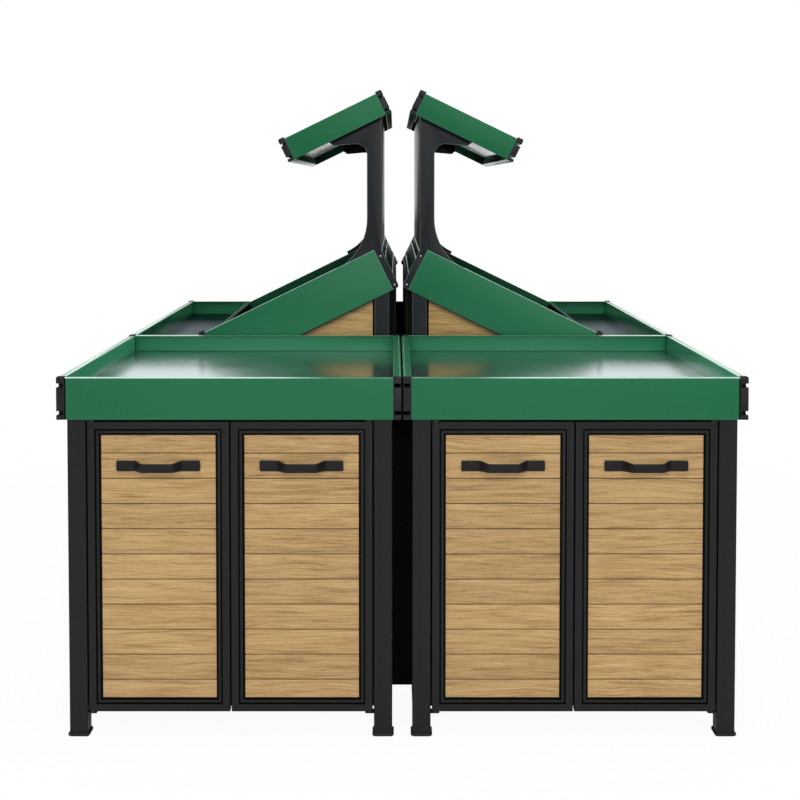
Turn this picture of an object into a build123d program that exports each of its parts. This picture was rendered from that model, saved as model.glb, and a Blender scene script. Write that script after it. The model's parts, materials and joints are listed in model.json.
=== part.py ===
from build123d import *
import os
from math import atan2, cos, radians, sin, tan

os.makedirs("parts", exist_ok=True)

# Double-sided produce display island, millimetres. X runs across both halves,
# Y from the door end to the far end, Z up. The origin is on the floor, under
# the middle of the bounding box.

# Overall sizes
overall_width = 1500.0
end_depth = 900.0
rack_length = 1200.0
rim_height = 790.0
centre_gap = 4.0

# Flat trays
tray_wall = 92.0
deck_drop = 44.0
deck_sheet = 2.0
panel_sheet = 2.0
panel_top_lip = 12.0
panel_foot_lip = 14.0
panel_round = 1.6
bearer_width = 40.0
bearer_wall = 1.5

# Edge rails and their end caps
rail_thick = 18.0
rail_lip_top = 13.0
rail_lip_foot = 10.0
rail_slot = 9.0
rail_wall = 3.0
rail_round = 4.0
cap_thick = 12.0
cap_rise = 2.5
top_cap_rise = 4.5
top_rail_lip_top = 10.0
top_rail_lip_foot = 8.0
top_rail_slot = 6.5

# Base frames
tube = 40.0
tube_wall = 2.0
tube_round = 2.5
bar = 18.0
bar_wall = 1.5
leg_inset = 4.0
leg_inset_centre = 2.0
leg_setback = 5.0
low_rail_height = 58.0
foot_height = 8.0
foot_width = 47.0
foot_bevel = 3.0
spigot_height = 25.0
spigot_clear = 0.3

# Doors and fixed board panels
door_bottom = 55.0
door_top_gap = 5.0
door_gap = 3.0
door_thick = 20.0
door_edge_round = 1.0
frame_face = 16.0
frame_groove = 3.5
frame_groove_depth = 4.5
frame_bead = 5.8
bead_step = 1.5
frame_reveal = 2.2
frame_reveal_depth = 4.5
board_set = 6.0
board_thick = 9.0
board_clear = 0.3
board_lap = 13.0
board_count = 11
board_gap = 0.8
board_bevel = 1.2
board_end_clear = 0.5

# Door furniture
pin_radius = 3.0
pin_fit = 0.05
pin_seat_fit = 0.02
pin_depth = 14.0
pin_from_edge = 8.0
pin_from_face = 5.0
hinge_plate_thick = 3.0
hinge_plate_depth = 22.0
hinge_plate_past_pin = 8.0
hinge_play = 1.0
handle_length = 182.0
handle_pad = 40.0
handle_bend = 12.0
handle_out = 36.0
handle_strap = 5.0
handle_height = 23.0
grip_height = 19.0
handle_centre_below_top = 97.0
handle_round = 1.2
handle_inner_bend = 5.0
door_to_rail = 8.0
catch_width = 45.0
catch_height = 14.0
catch_play = 0.6

# Cabinet lining
lining_sheet = 2.0
shelf_sheet = 2.0

# Back covers and centre fillers of the island
cover_thick = 10.0
cover_sheet = 1.5
cover_below_plate = 11.0
cover_play = 1.0
cover_lap = 8.0
cover_bottom = 98.0
filler_bottom = 74.0
filler_sheet = 2.0
filler_depth = 20.0
filler_setback = 120.0

# Inclined tray
slope_angle = 26.0
slope_length = 520.0
slope_wall = 122.0
slope_rail_above_foot = 30.0
slope_back_x = 74.0
slope_front_above_rim = 8.0
slope_deck_drop = 60.0
slope_deck_flange = 20.0
slope_deck_lip = 42.0
slope_wall_drop = 13.0
slope_lip_start = 112.0

# Top tray
top_length = 280.0
top_wall = 64.0
top_back_x = 69.0
top_above_slope = 430.0
top_deck_drop = 38.0

# Side plates with uprights
plate_thick = 8.0
upright_in = 52.5
upright_out = 93.0
post_in = 32.0
post_out = 72.0
strip_width = 19.0
plate_reveal = 3.0
plate_toe_rise = 9.0
plate_far_toe_drop = 22.0
plate_step_below_wall = 2.5
plate_step_past_gusset = 4.0
plate_foot_cover = 10.0
gusset_radius = 160.0
arm_radius = 30.0
arm_reach = 92.0
arm_end = 12.0
arm_end_rise = 9.0
arm_drop = 52.0
arm_end_drop = 8.0
arm_nose = 6.0
ear_radius = 8.0
plate_edge = 1.5
tie_size = 30.0
tie_wall = 2.0
tie_below_arm = 20.0
tie_above_rim = 26.0
bolt_head_radius = 4.5
bolt_head_height = 3.5
bolt_radius = 2.5
bolt_hole_clear = 0.3
bolt_upper = 23.0
bolt_lower = 11.0
infill_thick = 10.0
infill_lap = 8.0
infill_gap = 3.0

# Places that follow from the sizes
half_width = overall_width / 2
handle_proud = handle_out - board_set - leg_setback
total_depth = end_depth + rack_length + handle_proud
y_front = handle_proud - total_depth / 2
y_join = y_front + end_depth
y_far = y_join + rack_length
tray_in = centre_gap / 2 + rail_thick
tray_out = half_width - rail_thick
base_top = rim_height - tray_wall
deck_top = rim_height - deck_drop
leg_in = (tray_in + leg_inset_centre, tray_in + leg_inset_centre + tube)
leg_out = (tray_out - leg_inset - tube, tray_out - leg_inset)
low_rail = (low_rail_height, low_rail_height + tube)
top_rail = (base_top - tube, base_top)
frame_width = frame_face + frame_groove + frame_bead + frame_reveal
slot_edge = frame_width - board_lap
door_top = base_top - door_top_gap
door_height = door_top - door_bottom
door_width = (leg_out[0] - leg_in[1] - 3 * door_gap) / 2
door_face = y_front + leg_setback
sa = sin(radians(slope_angle))
ca = cos(radians(slope_angle))
slope_back_z = rim_height + slope_front_above_rim + slope_length * sa
slope_rail = slope_wall - slope_rail_above_foot
slope_rail_height = slope_rail - slope_wall_drop
top_back_z = slope_back_z + top_above_slope
plate_seat = 2 * panel_sheet
plate_back = plate_seat + plate_thick
halves = (("left", -1), ("right", 1))


def xz(y):
    return Plane(origin=(0, y, 0), x_dir=(1, 0, 0), z_dir=(0, -1, 0))


def block(x, y, z, mode=Mode.ADD):
    with BuildSketch(Plane.XY.offset(z[0])) as face:
        with Locations(((x[0] + x[1]) / 2, (y[0] + y[1]) / 2)):
            Rectangle(abs(x[1] - x[0]), abs(y[1] - y[0]))
    extrude(face.sketch, amount=z[1] - z[0], dir=(0, 0, 1), mode=mode)


def prism(points, y, mode=Mode.ADD):
    with BuildSketch(xz(y[0])) as face:
        Polygon(*points, align=None)
    extrude(face.sketch, amount=y[1] - y[0], dir=(0, 1, 0), mode=mode)


def side_span(side, x):
    return (side * x[0], side * x[1])


def slope_point(side, u, v):
    return (side * (slope_back_x + u * ca + v * sa), slope_back_z - u * sa + v * ca)


def top_point(side, u, v):
    return (side * (top_back_x + u * ca + v * sa), top_back_z - u * sa + v * ca)


def rounded_tube(x, y, z):
    with BuildSketch(Plane.XY.offset(z[0])) as section:
        with Locations(((x[0] + x[1]) / 2, (y[0] + y[1]) / 2)):
            RectangleRounded(tube, tube, tube_round)
            Rectangle(tube - 2 * tube_wall, tube - 2 * tube_wall, mode=Mode.SUBTRACT)
    extrude(section.sketch, amount=z[1] - z[0], dir=(0, 0, 1))


def bar_along_x(x, y, z):
    block(x, y, z)
    block(x, (y[0] + bar_wall, y[1] - bar_wall), (z[0] + bar_wall, z[1] - bar_wall), mode=Mode.SUBTRACT)


def bar_along_y(x, y, z, wall):
    low, high = min(x), max(x)
    block((low, high), y, z)
    block((low + wall, high - wall), y, (z[0] + wall, z[1] - wall), mode=Mode.SUBTRACT)


def prism_x(points, x, mode=Mode.ADD):
    with BuildSketch(Plane.YZ.offset(min(x))) as face:
        Polygon(*points, align=None)
    extrude(face.sketch, amount=abs(x[1] - x[0]), dir=(1, 0, 0), mode=mode)


def facing(origin, out):
    return Plane(origin=origin, x_dir=Vector(0, 0, 1).cross(Vector(*out)), z_dir=out)


def frame_ring(plane, depth, outer, inner, mode):
    with BuildSketch(plane) as ring:
        with Locations((outer[2] + outer[0] / 2, outer[2] + outer[1] / 2)):
            Rectangle(outer[0], outer[1])
            Rectangle(inner[0], inner[1], mode=Mode.SUBTRACT)
    extrude(ring.sketch, amount=depth, dir=plane.z_dir * -1, mode=mode)


def break_front_edges(builder, plane, width, height):
    outline = []
    for edge in builder.edges():
        spot = plane.to_local_coords(edge.center())
        at_face = abs(spot.Z) < 0.01
        at_end = min(abs(spot.X), abs(spot.X - width)) < 0.01 and -0.01 < spot.Y < height + 0.01
        at_rail = min(abs(spot.Y), abs(spot.Y - height)) < 0.01 and -0.01 < spot.X < width + 0.01
        if at_face and (at_end or at_rail):
            outline.append(edge)
    chamfer(outline, door_edge_round)


def panel_frame(builder, plane, width, height):
    whole = (width, height, 0)
    inside_face = (width - 2 * frame_face, height - 2 * frame_face, frame_face)
    past_groove = frame_face + frame_groove
    inside_groove = (width - 2 * past_groove, height - 2 * past_groove)
    past_bead = past_groove + frame_bead
    inside_bead = (width - 2 * past_bead, height - 2 * past_bead, past_bead)
    opening = (width - 2 * frame_width, height - 2 * frame_width)
    frame_ring(plane, door_thick, whole, opening, Mode.ADD)
    break_front_edges(builder, plane, width, height)
    frame_ring(plane, bead_step, inside_face, opening, Mode.SUBTRACT)
    frame_ring(plane, frame_groove_depth, inside_face, inside_groove, Mode.SUBTRACT)
    frame_ring(plane, frame_reveal_depth, inside_bead, opening, Mode.SUBTRACT)
    with BuildSketch(plane.offset(-board_set)) as slot:
        with Locations((width / 2, height / 2)):
            Rectangle(width - 2 * slot_edge, height - 2 * slot_edge)
    extrude(slot.sketch, amount=board_thick + board_clear, dir=plane.z_dir * -1, mode=Mode.SUBTRACT)


def panel_boards(plane, width, height):
    pitch = (height - 2 * slot_edge) / board_count
    start = slot_edge + board_end_clear
    side = Plane(origin=plane.origin, x_dir=plane.y_dir, z_dir=plane.x_dir).offset(start)
    front = -board_set
    back = -board_set - board_thick
    with BuildSketch(side) as sections:
        for row in range(board_count):
            low = slot_edge + row * pitch + board_gap / 2
            high = slot_edge + (row + 1) * pitch - board_gap / 2
            Polygon(
                (low, back),
                (high, back),
                (high, front - board_bevel),
                (high - board_bevel, front),
                (low + board_bevel, front),
                (low, front - board_bevel),
                align=None,
            )
    extrude(sections.sketch, amount=width - 2 * start, dir=plane.x_dir)


def rail_section(height, lip_top, lip_foot, slot):
    inner = rail_wall
    knee = rail_round * 0.3
    return [
        (0, 0),
        (rail_thick, 0),
        (rail_thick, lip_foot),
        (inner, lip_foot),
        (inner, lip_foot + slot),
        (rail_thick, lip_foot + slot),
        (rail_thick, height - lip_top - slot),
        (inner, height - lip_top - slot),
        (inner, height - lip_top),
        (rail_thick, height - lip_top),
        (rail_thick, height - rail_round),
        (rail_thick - knee, height - knee),
        (rail_thick - rail_round, height),
        (0, height),
    ]


def rail_bore(height, lip_top, lip_foot, slot):
    low = lip_foot + slot + rail_wall
    high = height - lip_top - slot - rail_wall
    return [(rail_wall, low), (rail_thick - rail_wall, low), (rail_thick - rail_wall, high), (rail_wall, high)]


wall_rail = rail_section(tray_wall, rail_lip_top, rail_lip_foot, rail_slot)
wall_cap = rail_section(tray_wall + cap_rise, rail_lip_top + cap_rise, rail_lip_foot, rail_slot)
wall_bore = rail_bore(tray_wall, rail_lip_top, rail_lip_foot, rail_slot)
slope_section = rail_section(slope_rail_height, rail_lip_top, rail_lip_foot, rail_slot)
slope_bore = rail_bore(slope_rail_height, rail_lip_top, rail_lip_foot, rail_slot)
top_section = rail_section(top_wall, top_rail_lip_top, top_rail_lip_foot, top_rail_slot)
top_cap_lip = top_rail_lip_top + top_cap_rise
top_cap = rail_section(top_wall + top_cap_rise, top_cap_lip, top_rail_lip_foot, top_rail_slot)
top_bore = rail_bore(top_wall, top_rail_lip_top, top_rail_lip_foot, top_rail_slot)


def outer_rail(side, points):
    return [(side * (tray_out + u), base_top + v) for u, v in points]


def inner_rail(side, points):
    return [(side * (tray_in - u), base_top + v) for u, v in points]


def slope_front_rail(side, points):
    return [slope_point(side, slope_length + u, v - slope_rail) for u, v in points]


def slope_back_rail(side, points):
    return [slope_point(side, -u, v - slope_rail) for u, v in points]


def top_front_rail(side, points):
    return [top_point(side, top_length + u, v - top_wall) for u, v in points]


def top_back_rail(side, points):
    return [top_point(side, -u, v - top_wall) for u, v in points]


def height_on(back_x, back_z, v, x):
    u = (x - back_x - v * sa) / ca
    return back_z - u * sa + v * ca


def reach_on(back_x, back_z, v, z):
    u = (back_z + v * ca - z) / sa
    return back_x + u * ca + v * sa


def wall_profile(y, out, top_lip, foot_lip):
    knee = panel_round * 0.3
    inward = -out
    points = [(y, base_top)]
    if foot_lip > panel_sheet:
        points += [(y + inward * foot_lip, base_top), (y + inward * foot_lip, base_top + panel_sheet)]
        points += [(y + inward * panel_sheet, base_top + panel_sheet)]
    else:
        points += [(y + inward * panel_sheet, base_top)]
    if top_lip > panel_sheet:
        points += [(y + inward * panel_sheet, rim_height - panel_sheet)]
        points += [(y + inward * top_lip, rim_height - panel_sheet), (y + inward * top_lip, rim_height)]
    else:
        points += [(y + inward * panel_sheet, rim_height)]
    points += [(y + inward * panel_round, rim_height), (y + inward * knee, rim_height - knee)]
    points += [(y, rim_height - panel_round)]
    return points


def save(builder, name):
    builder.part.label = name
    export_step(builder.part, "parts/" + name + ".step")


# Base frames: four rounded square-tube legs each, with rails of flat tube between them.
end_legs_y = (
    (y_front + leg_setback, y_front + leg_setback + tube),
    (y_join - leg_setback - tube, y_join - leg_setback),
)
rack_legs_y = (
    (y_join + leg_setback, y_join + leg_setback + tube),
    (y_far - leg_setback - tube, y_far - leg_setback),
)
for name, side in halves:
    with BuildPart() as end_legs:
        for x in (leg_in, leg_out):
            for y in end_legs_y:
                rounded_tube(side_span(side, x), y, (foot_height, base_top))
    save(end_legs, "end_cabinet_" + name + "_legs")

    with BuildPart() as rack_legs:
        for x in (leg_in, leg_out):
            for y in rack_legs_y:
                rounded_tube(side_span(side, x), y, (foot_height, base_top))
    save(rack_legs, "rack_" + name + "_legs")

    clear_x = (leg_in[1], leg_out[0])
    behind_panel = leg_out[1] - door_thick
    with BuildPart() as end_rails:
        front_y = door_face + door_thick + door_to_rail
        back_y = y_join - leg_setback - lining_sheet
        along_y = (end_legs_y[0][1], end_legs_y[1][0])
        for z in (low_rail, top_rail):
            bar_along_x(side_span(side, clear_x), (front_y, front_y + bar), z)
            bar_along_x(side_span(side, clear_x), (back_y - bar, back_y), z)
            bar_along_y(side_span(side, (behind_panel - bar, behind_panel)), along_y, z, bar_wall)
            inner_x = leg_in[0] + lining_sheet
            bar_along_y(side_span(side, (inner_x, inner_x + bar)), along_y, z, bar_wall)
    save(end_rails, "end_cabinet_" + name + "_rails")

    with BuildPart() as rack_rails:
        near_y = y_join + leg_setback + door_thick
        end_y = y_far - leg_setback - door_thick
        along_y = (rack_legs_y[0][1], rack_legs_y[1][0])
        for z in (low_rail, top_rail):
            bar_along_x(side_span(side, clear_x), (near_y, near_y + bar), z)
            bar_along_x(side_span(side, clear_x), (end_y - bar, end_y), z)
            bar_along_y(side_span(side, (behind_panel - bar, behind_panel)), along_y, z, bar_wall)
            bar_along_y(side_span(side, (leg_in[0], leg_in[0] + bar)), along_y, z, bar_wall)
    save(rack_rails, "rack_" + name + "_rails")

# Foot glides: bevelled pads with a square spigot up each leg.
with BuildPart() as foot_glides:
    spigot = tube - 2 * tube_wall - 2 * spigot_clear
    for side in (-1, 1):
        for x in (leg_in, leg_out):
            for y in end_legs_y + rack_legs_y:
                mid_x = side * (x[0] + x[1]) / 2
                mid_y = (y[0] + y[1]) / 2
                reach = foot_width / 2
                block((mid_x - reach, mid_x + reach), (mid_y - reach, mid_y + reach), (0, foot_height))
    chamfer(foot_glides.edges().group_by(Axis.Z)[0], foot_bevel)
    chamfer(foot_glides.edges().group_by(Axis.Z)[-1], foot_bevel / 2)
    for side in (-1, 1):
        for x in (leg_in, leg_out):
            for y in end_legs_y + rack_legs_y:
                mid_x = side * (x[0] + x[1]) / 2
                mid_y = (y[0] + y[1]) / 2
                reach = spigot / 2
                top = foot_height + spigot_height
                block((mid_x - reach, mid_x + reach), (mid_y - reach, mid_y + reach), (foot_height, top))
save(foot_glides, "foot_glides")

# Fixed panels of framed boards: the outer side of each end cabinet, and the
# outer side and both ends of each rack.
fixed_height = base_top - door_bottom


def side_plane(side, y):
    origin = (side * leg_out[1], y[0] if side > 0 else y[1], door_bottom)
    return facing(origin, (side, 0, 0))


def end_plane(side, y, out):
    low_x = leg_in[1] if side > 0 else -leg_out[0]
    high_x = leg_out[0] if side > 0 else -leg_in[1]
    return facing((low_x if out < 0 else high_x, y, door_bottom), (0, out, 0))


end_side_y = (end_legs_y[0][1], end_legs_y[1][0])
rack_side_y = (rack_legs_y[0][1], rack_legs_y[1][0])
end_side_width = end_side_y[1] - end_side_y[0]
rack_side_width = rack_side_y[1] - rack_side_y[0]
rack_end_width = leg_out[0] - leg_in[1]

for name, side in halves:
    with BuildPart() as end_side_frame:
        panel_frame(end_side_frame, side_plane(side, end_side_y), end_side_width, fixed_height)
    save(end_side_frame, "end_cabinet_" + name + "_side_frame")

    with BuildPart() as end_side_boards:
        panel_boards(side_plane(side, end_side_y), end_side_width, fixed_height)
    save(end_side_boards, "end_cabinet_" + name + "_side_boards")

with BuildPart() as rack_frames:
    for side in (-1, 1):
        panel_frame(rack_frames, side_plane(side, rack_side_y), rack_side_width, fixed_height)
        panel_frame(rack_frames, end_plane(side, rack_legs_y[0][0], -1), rack_end_width, fixed_height)
        panel_frame(rack_frames, end_plane(side, rack_legs_y[1][1], 1), rack_end_width, fixed_height)
save(rack_frames, "rack_panel_frames")

with BuildPart() as rack_boards:
    for side in (-1, 1):
        panel_boards(side_plane(side, rack_side_y), rack_side_width, fixed_height)
        panel_boards(end_plane(side, rack_legs_y[0][0], -1), rack_end_width, fixed_height)
        panel_boards(end_plane(side, rack_legs_y[1][1], 1), rack_end_width, fixed_height)
save(rack_boards, "rack_panel_boards")

# Sheet lining and bottom shelves of the end cabinets.
with BuildPart() as shelves:
    front_y = door_face + door_thick + door_to_rail
    back_y = y_join - leg_setback - lining_sheet
    for side in (-1, 1):
        shelf_z = (low_rail[1], low_rail[1] + shelf_sheet)
        block(side_span(side, (leg_in[1], leg_out[0])), (front_y, back_y), shelf_z)
save(shelves, "end_cabinet_shelves")

with BuildPart() as back_panels:
    for side in (-1, 1):
        y = (y_join - leg_setback - lining_sheet, y_join - leg_setback)
        block(side_span(side, (leg_in[1], leg_out[0])), y, (low_rail[0], base_top))
save(back_panels, "end_cabinet_back_panels")

with BuildPart() as inner_panels:
    for side in (-1, 1):
        x = side_span(side, (leg_in[0], leg_in[0] + lining_sheet))
        block(x, end_side_y, (low_rail[0], base_top))
save(inner_panels, "end_cabinet_inner_panels")

# Doors: a pair in each end cabinet, turning on pins in their outer stiles.
doors = []
for name, side in halves:
    inner_x = (leg_in[1] + door_gap, leg_in[1] + door_gap + door_width)
    outer_x = (leg_out[0] - door_gap - door_width, leg_out[0] - door_gap)
    doors.append(("door_" + name + "_outer", side, outer_x, outer_x[1] - pin_from_edge, leg_out[0], -1))
    doors.append(("door_" + name + "_inner", side, inner_x, inner_x[0] + pin_from_edge, leg_in[1], 1))

pin_y = door_face + pin_from_face
upper_plate = (door_top + hinge_play, door_top + hinge_play + hinge_plate_thick)
lower_plate = (door_bottom - hinge_play - hinge_plate_thick, door_bottom - hinge_play)


def pin(x, z, radius, mode=Mode.ADD):
    with BuildSketch(Plane.XY.offset(z[0])) as disc:
        with Locations((x, pin_y)):
            Circle(radius)
    extrude(disc.sketch, amount=z[1] - z[0], dir=(0, 0, 1), mode=mode)


for name, side, x, pin_x, leg_x, inward in doors:
    low_x = min(side_span(side, x))
    plane = facing((low_x, door_face, door_bottom), (0, -1, 0))

    with BuildPart() as door_frame:
        panel_frame(door_frame, plane, door_width, door_height)
        seat = pin_radius + pin_seat_fit
        pin(side * pin_x, (door_top - pin_depth, door_top), seat, Mode.SUBTRACT)
        pin(side * pin_x, (door_bottom, door_bottom + pin_depth), seat, Mode.SUBTRACT)
    save(door_frame, name + "_frame")

    with BuildPart() as door_boards:
        panel_boards(plane, door_width, door_height)
    save(door_boards, name + "_boards")

    with BuildPart() as pivot_pins:
        pin(side * pin_x, (door_top - pin_depth, upper_plate[1]), pin_radius)
        pin(side * pin_x, (lower_plate[0], door_bottom + pin_depth), pin_radius)
    save(pivot_pins, name + "_pivot_pins")

    # Strap handle: two pads on the boards and a grip stood off them.
    mid_x = low_x + door_width / 2
    mid_z = door_top - handle_centre_below_top
    seat_y = door_face + board_set
    grip = handle_length / 2 - handle_pad - handle_bend
    lean = handle_strap * tan(atan2(handle_out - handle_strap, handle_bend) / 2)
    strap = [
        (-handle_length / 2, 0),
        (-grip - handle_bend, 0),
        (-grip, handle_out - handle_strap),
        (grip, handle_out - handle_strap),
        (grip + handle_bend, 0),
        (handle_length / 2, 0),
        (handle_length / 2, handle_strap),
        (grip + handle_bend + lean, handle_strap),
        (grip + lean, handle_out),
        (-grip - lean, handle_out),
        (-grip - handle_bend - lean, handle_strap),
        (-handle_length / 2, handle_strap),
    ]
    with BuildPart() as handle:
        with BuildSketch(Plane.XY.offset(mid_z - handle_height / 2)) as outline:
            Polygon(*[(mid_x + u, seat_y - v) for u, v in strap], align=None)
            outer_bend = handle_inner_bend + handle_strap
            bends = ((1, outer_bend), (2, handle_inner_bend), (3, handle_inner_bend), (4, outer_bend))
            bends += ((7, handle_inner_bend), (8, outer_bend), (9, outer_bend), (10, handle_inner_bend))
            for corner, radius in bends:
                u, v = strap[corner]
                spot = (mid_x + u, seat_y - v, 0)
                fillet(outline.vertices().sort_by_distance(spot)[0], radius)
        extrude(outline.sketch, amount=handle_height, dir=(0, 0, 1))
        shave_x = (mid_x - grip - handle_bend, mid_x + grip + handle_bend)
        near_y = seat_y - handle_strap - handle_bend / 3
        grip_y = seat_y - handle_out + handle_bend
        front_y = seat_y - handle_out
        past_y = front_y - handle_strap
        for way in (-1, 1):
            pad_z = mid_z + way * handle_height / 2
            grip_z = mid_z + way * grip_height / 2
            edge_z = grip_z - way * handle_round
            past_z = mid_z + way * handle_height
            shave = [(near_y, pad_z), (grip_y, grip_z), (front_y + handle_round, grip_z), (front_y, edge_z)]
            shave += [(past_y, edge_z), (past_y, past_z), (near_y, past_z)]
            prism_x(shave, shave_x, Mode.SUBTRACT)
    save(handle, name + "_handle")

with BuildPart() as hinge_plates:
    for name, side, x, pin_x, leg_x, inward in doors:
        end_x = pin_x + inward * hinge_plate_past_pin
        plate_y = (door_face, door_face + hinge_plate_depth)
        for z in (upper_plate, lower_plate):
            block(side_span(side, (leg_x, end_x)), plate_y, z)
            pin(side * pin_x, z, pin_radius + pin_fit, Mode.SUBTRACT)
save(hinge_plates, "hinge_plates")

with BuildPart() as door_catches:
    for name, side, x, pin_x, leg_x, inward in doors:
        free_x = x[1] if inward > 0 else x[0]
        reach = (free_x, free_x - inward * catch_width)
        y = (door_face + door_thick + catch_play, door_face + door_thick + door_to_rail)
        z = (top_rail[0] + bar_wall, top_rail[0] + bar_wall + catch_height)
        block(side_span(side, reach), y, z)
save(door_catches, "door_catches")

# Flat trays of the end cabinets: folded panels, edge rails, and a steel deck on cross bearers.
for name, side in halves:
    across = side_span(side, (tray_in, tray_out))
    with BuildPart() as end_panels:
        prism_x(wall_profile(y_front, -1, panel_top_lip, panel_foot_lip), across)
        prism_x(wall_profile(y_join, 1, panel_top_lip, panel_foot_lip), across)
    save(end_panels, "end_tray_" + name + "_panels")

    with BuildPart() as end_edge_rails:
        y = (y_front + cap_thick, y_join - cap_thick)
        for place in (outer_rail, inner_rail):
            prism(place(side, wall_rail), y)
            prism(place(side, wall_bore), y, Mode.SUBTRACT)
    save(end_edge_rails, "end_tray_" + name + "_edge_rails")

    with BuildPart() as end_deck:
        deck_y = (y_front + panel_sheet, y_join - panel_sheet)
        block(across, deck_y, (deck_top - deck_sheet, deck_top))
        bearer_z = (base_top, deck_top - deck_sheet)
        span = side_span(side, (leg_in[0], leg_out[1]))
        for spot in (1, 3, 5):
            mid_y = y_front + end_depth * spot / 6
            y = (mid_y - bearer_width / 2, mid_y + bearer_width / 2)
            block(span, y, bearer_z)
            bore_y = (y[0] + bearer_wall, y[1] - bearer_wall)
            block(span, bore_y, (bearer_z[0] + bearer_wall, bearer_z[1] - bearer_wall), mode=Mode.SUBTRACT)
    save(end_deck, "end_tray_" + name + "_deck")

# Flat outer trays of the racks, stopping at the foot of the inclined tray.
lip_in = reach_on(slope_back_x + rail_thick * ca, slope_back_z - rail_thick * sa, 0, rim_height) + panel_sheet
lip_in = max(lip_in, slope_point(1, slope_length + rail_thick, 0)[0] + panel_sheet)
deck_edge = slope_point(1, slope_length + rail_thick, 0)
deck_in = deck_edge[0] - (deck_edge[1] - deck_top) * sa / ca + 1

with BuildPart() as rack_panels:
    for side in (-1, 1):
        for y, out in ((y_join, -1), (y_far, 1)):
            prism_x(wall_profile(y, out, 0, 0), side_span(side, (tray_in, lip_in)))
            prism_x(wall_profile(y, out, panel_top_lip, panel_foot_lip), side_span(side, (lip_in, tray_out)))
save(rack_panels, "rack_tray_panels")

with BuildPart() as rack_edge_rails:
    for side in (-1, 1):
        y = (y_join + cap_thick, y_far - cap_thick)
        prism(outer_rail(side, wall_rail), y)
        prism(outer_rail(side, wall_bore), y, Mode.SUBTRACT)
save(rack_edge_rails, "rack_tray_edge_rails")

with BuildPart() as rack_decks:
    for side in (-1, 1):
        deck_y = (y_join + panel_sheet, y_far - panel_sheet)
        block(side_span(side, (deck_in, tray_out)), deck_y, (deck_top - deck_sheet, deck_top))
        bearer_y = (y_join + panel_foot_lip + 1, y_far - panel_foot_lip - 1)
        bearer_z = (base_top, deck_top - deck_sheet)
        for low_x in (lip_in, leg_out[0]):
            x = side_span(side, (low_x, low_x + bearer_width))
            bar_along_y(x, bearer_y, bearer_z, bearer_wall)
save(rack_decks, "rack_tray_decks")

# Side plates: one at each end of a rack, cut in one piece from the post under
# the inclined tray, up the upright, to the arm under the top tray. The near one's toe
# stands up past the foot of the inclined tray, the far one's is cut low.
arm_line = -top_deck_drop - deck_sheet
arm_z = height_on(top_back_x, top_back_z, -top_wall, upright_out) - arm_drop
arm_tip = upright_out + arm_reach
plate_front = slope_length + rail_thick
plate_step = -slope_wall_drop - plate_step_below_wall
gusset_reach = gusset_radius / tan(radians(45 + slope_angle / 2))
gusset_corner = (upright_out - slope_back_x + plate_reveal * sa) / ca
step_start = gusset_corner + gusset_reach + plate_step_past_gusset
plate_foot = -slope_wall + plate_foot_cover


def plate_outline(side, toe):
    arm = [
        slope_point(side, -strip_width, -plate_reveal),
        slope_point(side, step_start, -plate_reveal),
        slope_point(side, step_start, plate_step),
        slope_point(side, slope_length, plate_step),
        slope_point(side, slope_length, toe),
        slope_point(side, plate_front, toe),
        slope_point(side, plate_front, -slope_rail),
        slope_point(side, slope_length - plate_foot_cover, plate_foot),
        slope_point(side, plate_foot_cover / 2, plate_foot),
        slope_point(side, 0, -slope_wall),
        slope_point(side, -strip_width, -slope_wall),
    ]
    upright_low = slope_back_z - slope_rail / 2
    upright = [
        (side * upright_in, upright_low),
        (side * upright_out, upright_low),
        (side * upright_out, height_on(top_back_x, top_back_z, arm_line, upright_out)),
        (side * upright_in, height_on(top_back_x, top_back_z, arm_line, upright_in)),
    ]
    end_x = arm_tip + arm_end
    top_arm = [
        (side * upright_in, arm_z),
        (side * upright_out, arm_z),
        (side * arm_tip, arm_z - arm_end_drop),
        (side * end_x, arm_z - arm_end_drop + arm_end_rise),
        (side * end_x, height_on(top_back_x, top_back_z, arm_line, end_x)),
        (side * upright_in, height_on(top_back_x, top_back_z, arm_line, upright_in)),
    ]
    middle = -slope_wall / 2
    post = [
        (side * post_in, base_top),
        (side * post_out, base_top),
        (side * post_out, height_on(slope_back_x, slope_back_z, middle, post_out)),
        (side * post_in, height_on(slope_back_x, slope_back_z, middle, post_in)),
    ]
    gusset = (side * upright_out, height_on(slope_back_x, slope_back_z, -plate_reveal, upright_out))
    crook = (side * upright_out, arm_z)
    nose = (side * arm_tip, arm_z - arm_end_drop)
    with BuildSketch() as outline:
        for corners in (arm, upright, top_arm, post):
            Polygon(*corners, align=None)
        ear = slope_point(side, -strip_width, -slope_wall)
        rounds = ((gusset, gusset_radius), (crook, arm_radius), (nose, arm_nose), (ear, ear_radius))
        for spot, radius in rounds:
            fillet(outline.vertices().sort_by_distance((spot[0], spot[1], 0))[0], radius)
        for u, v in bolt_places:
            with Locations(slope_point(side, u, v)):
                Circle(bolt_radius + bolt_hole_clear, mode=Mode.SUBTRACT)
    return outline.sketch


bolt_places = ((-strip_width / 2, -bolt_upper), (-strip_width / 2, bolt_lower - slope_wall))
for name, side in halves:
    with BuildPart() as side_plates:
        near_plate = (y_join + plate_seat, plate_toe_rise)
        far_plate = (y_far - plate_seat - plate_thick, -plate_far_toe_drop)
        for y, toe in (near_plate, far_plate):
            with BuildSketch(xz(y)) as face:
                add(plate_outline(side, toe))
            extrude(face.sketch, amount=plate_thick, dir=(0, 1, 0))
        for edges in (side_plates.edges().group_by(Axis.Y)[0], side_plates.edges().group_by(Axis.Y)[-1]):
            holes = edges.filter_by(GeomType.CIRCLE).filter_by(lambda edge: edge.is_closed)
            chamfer([edge for edge in edges if edge not in holes], plate_edge)
    save(side_plates, "rack_" + name + "_side_plates")

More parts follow.
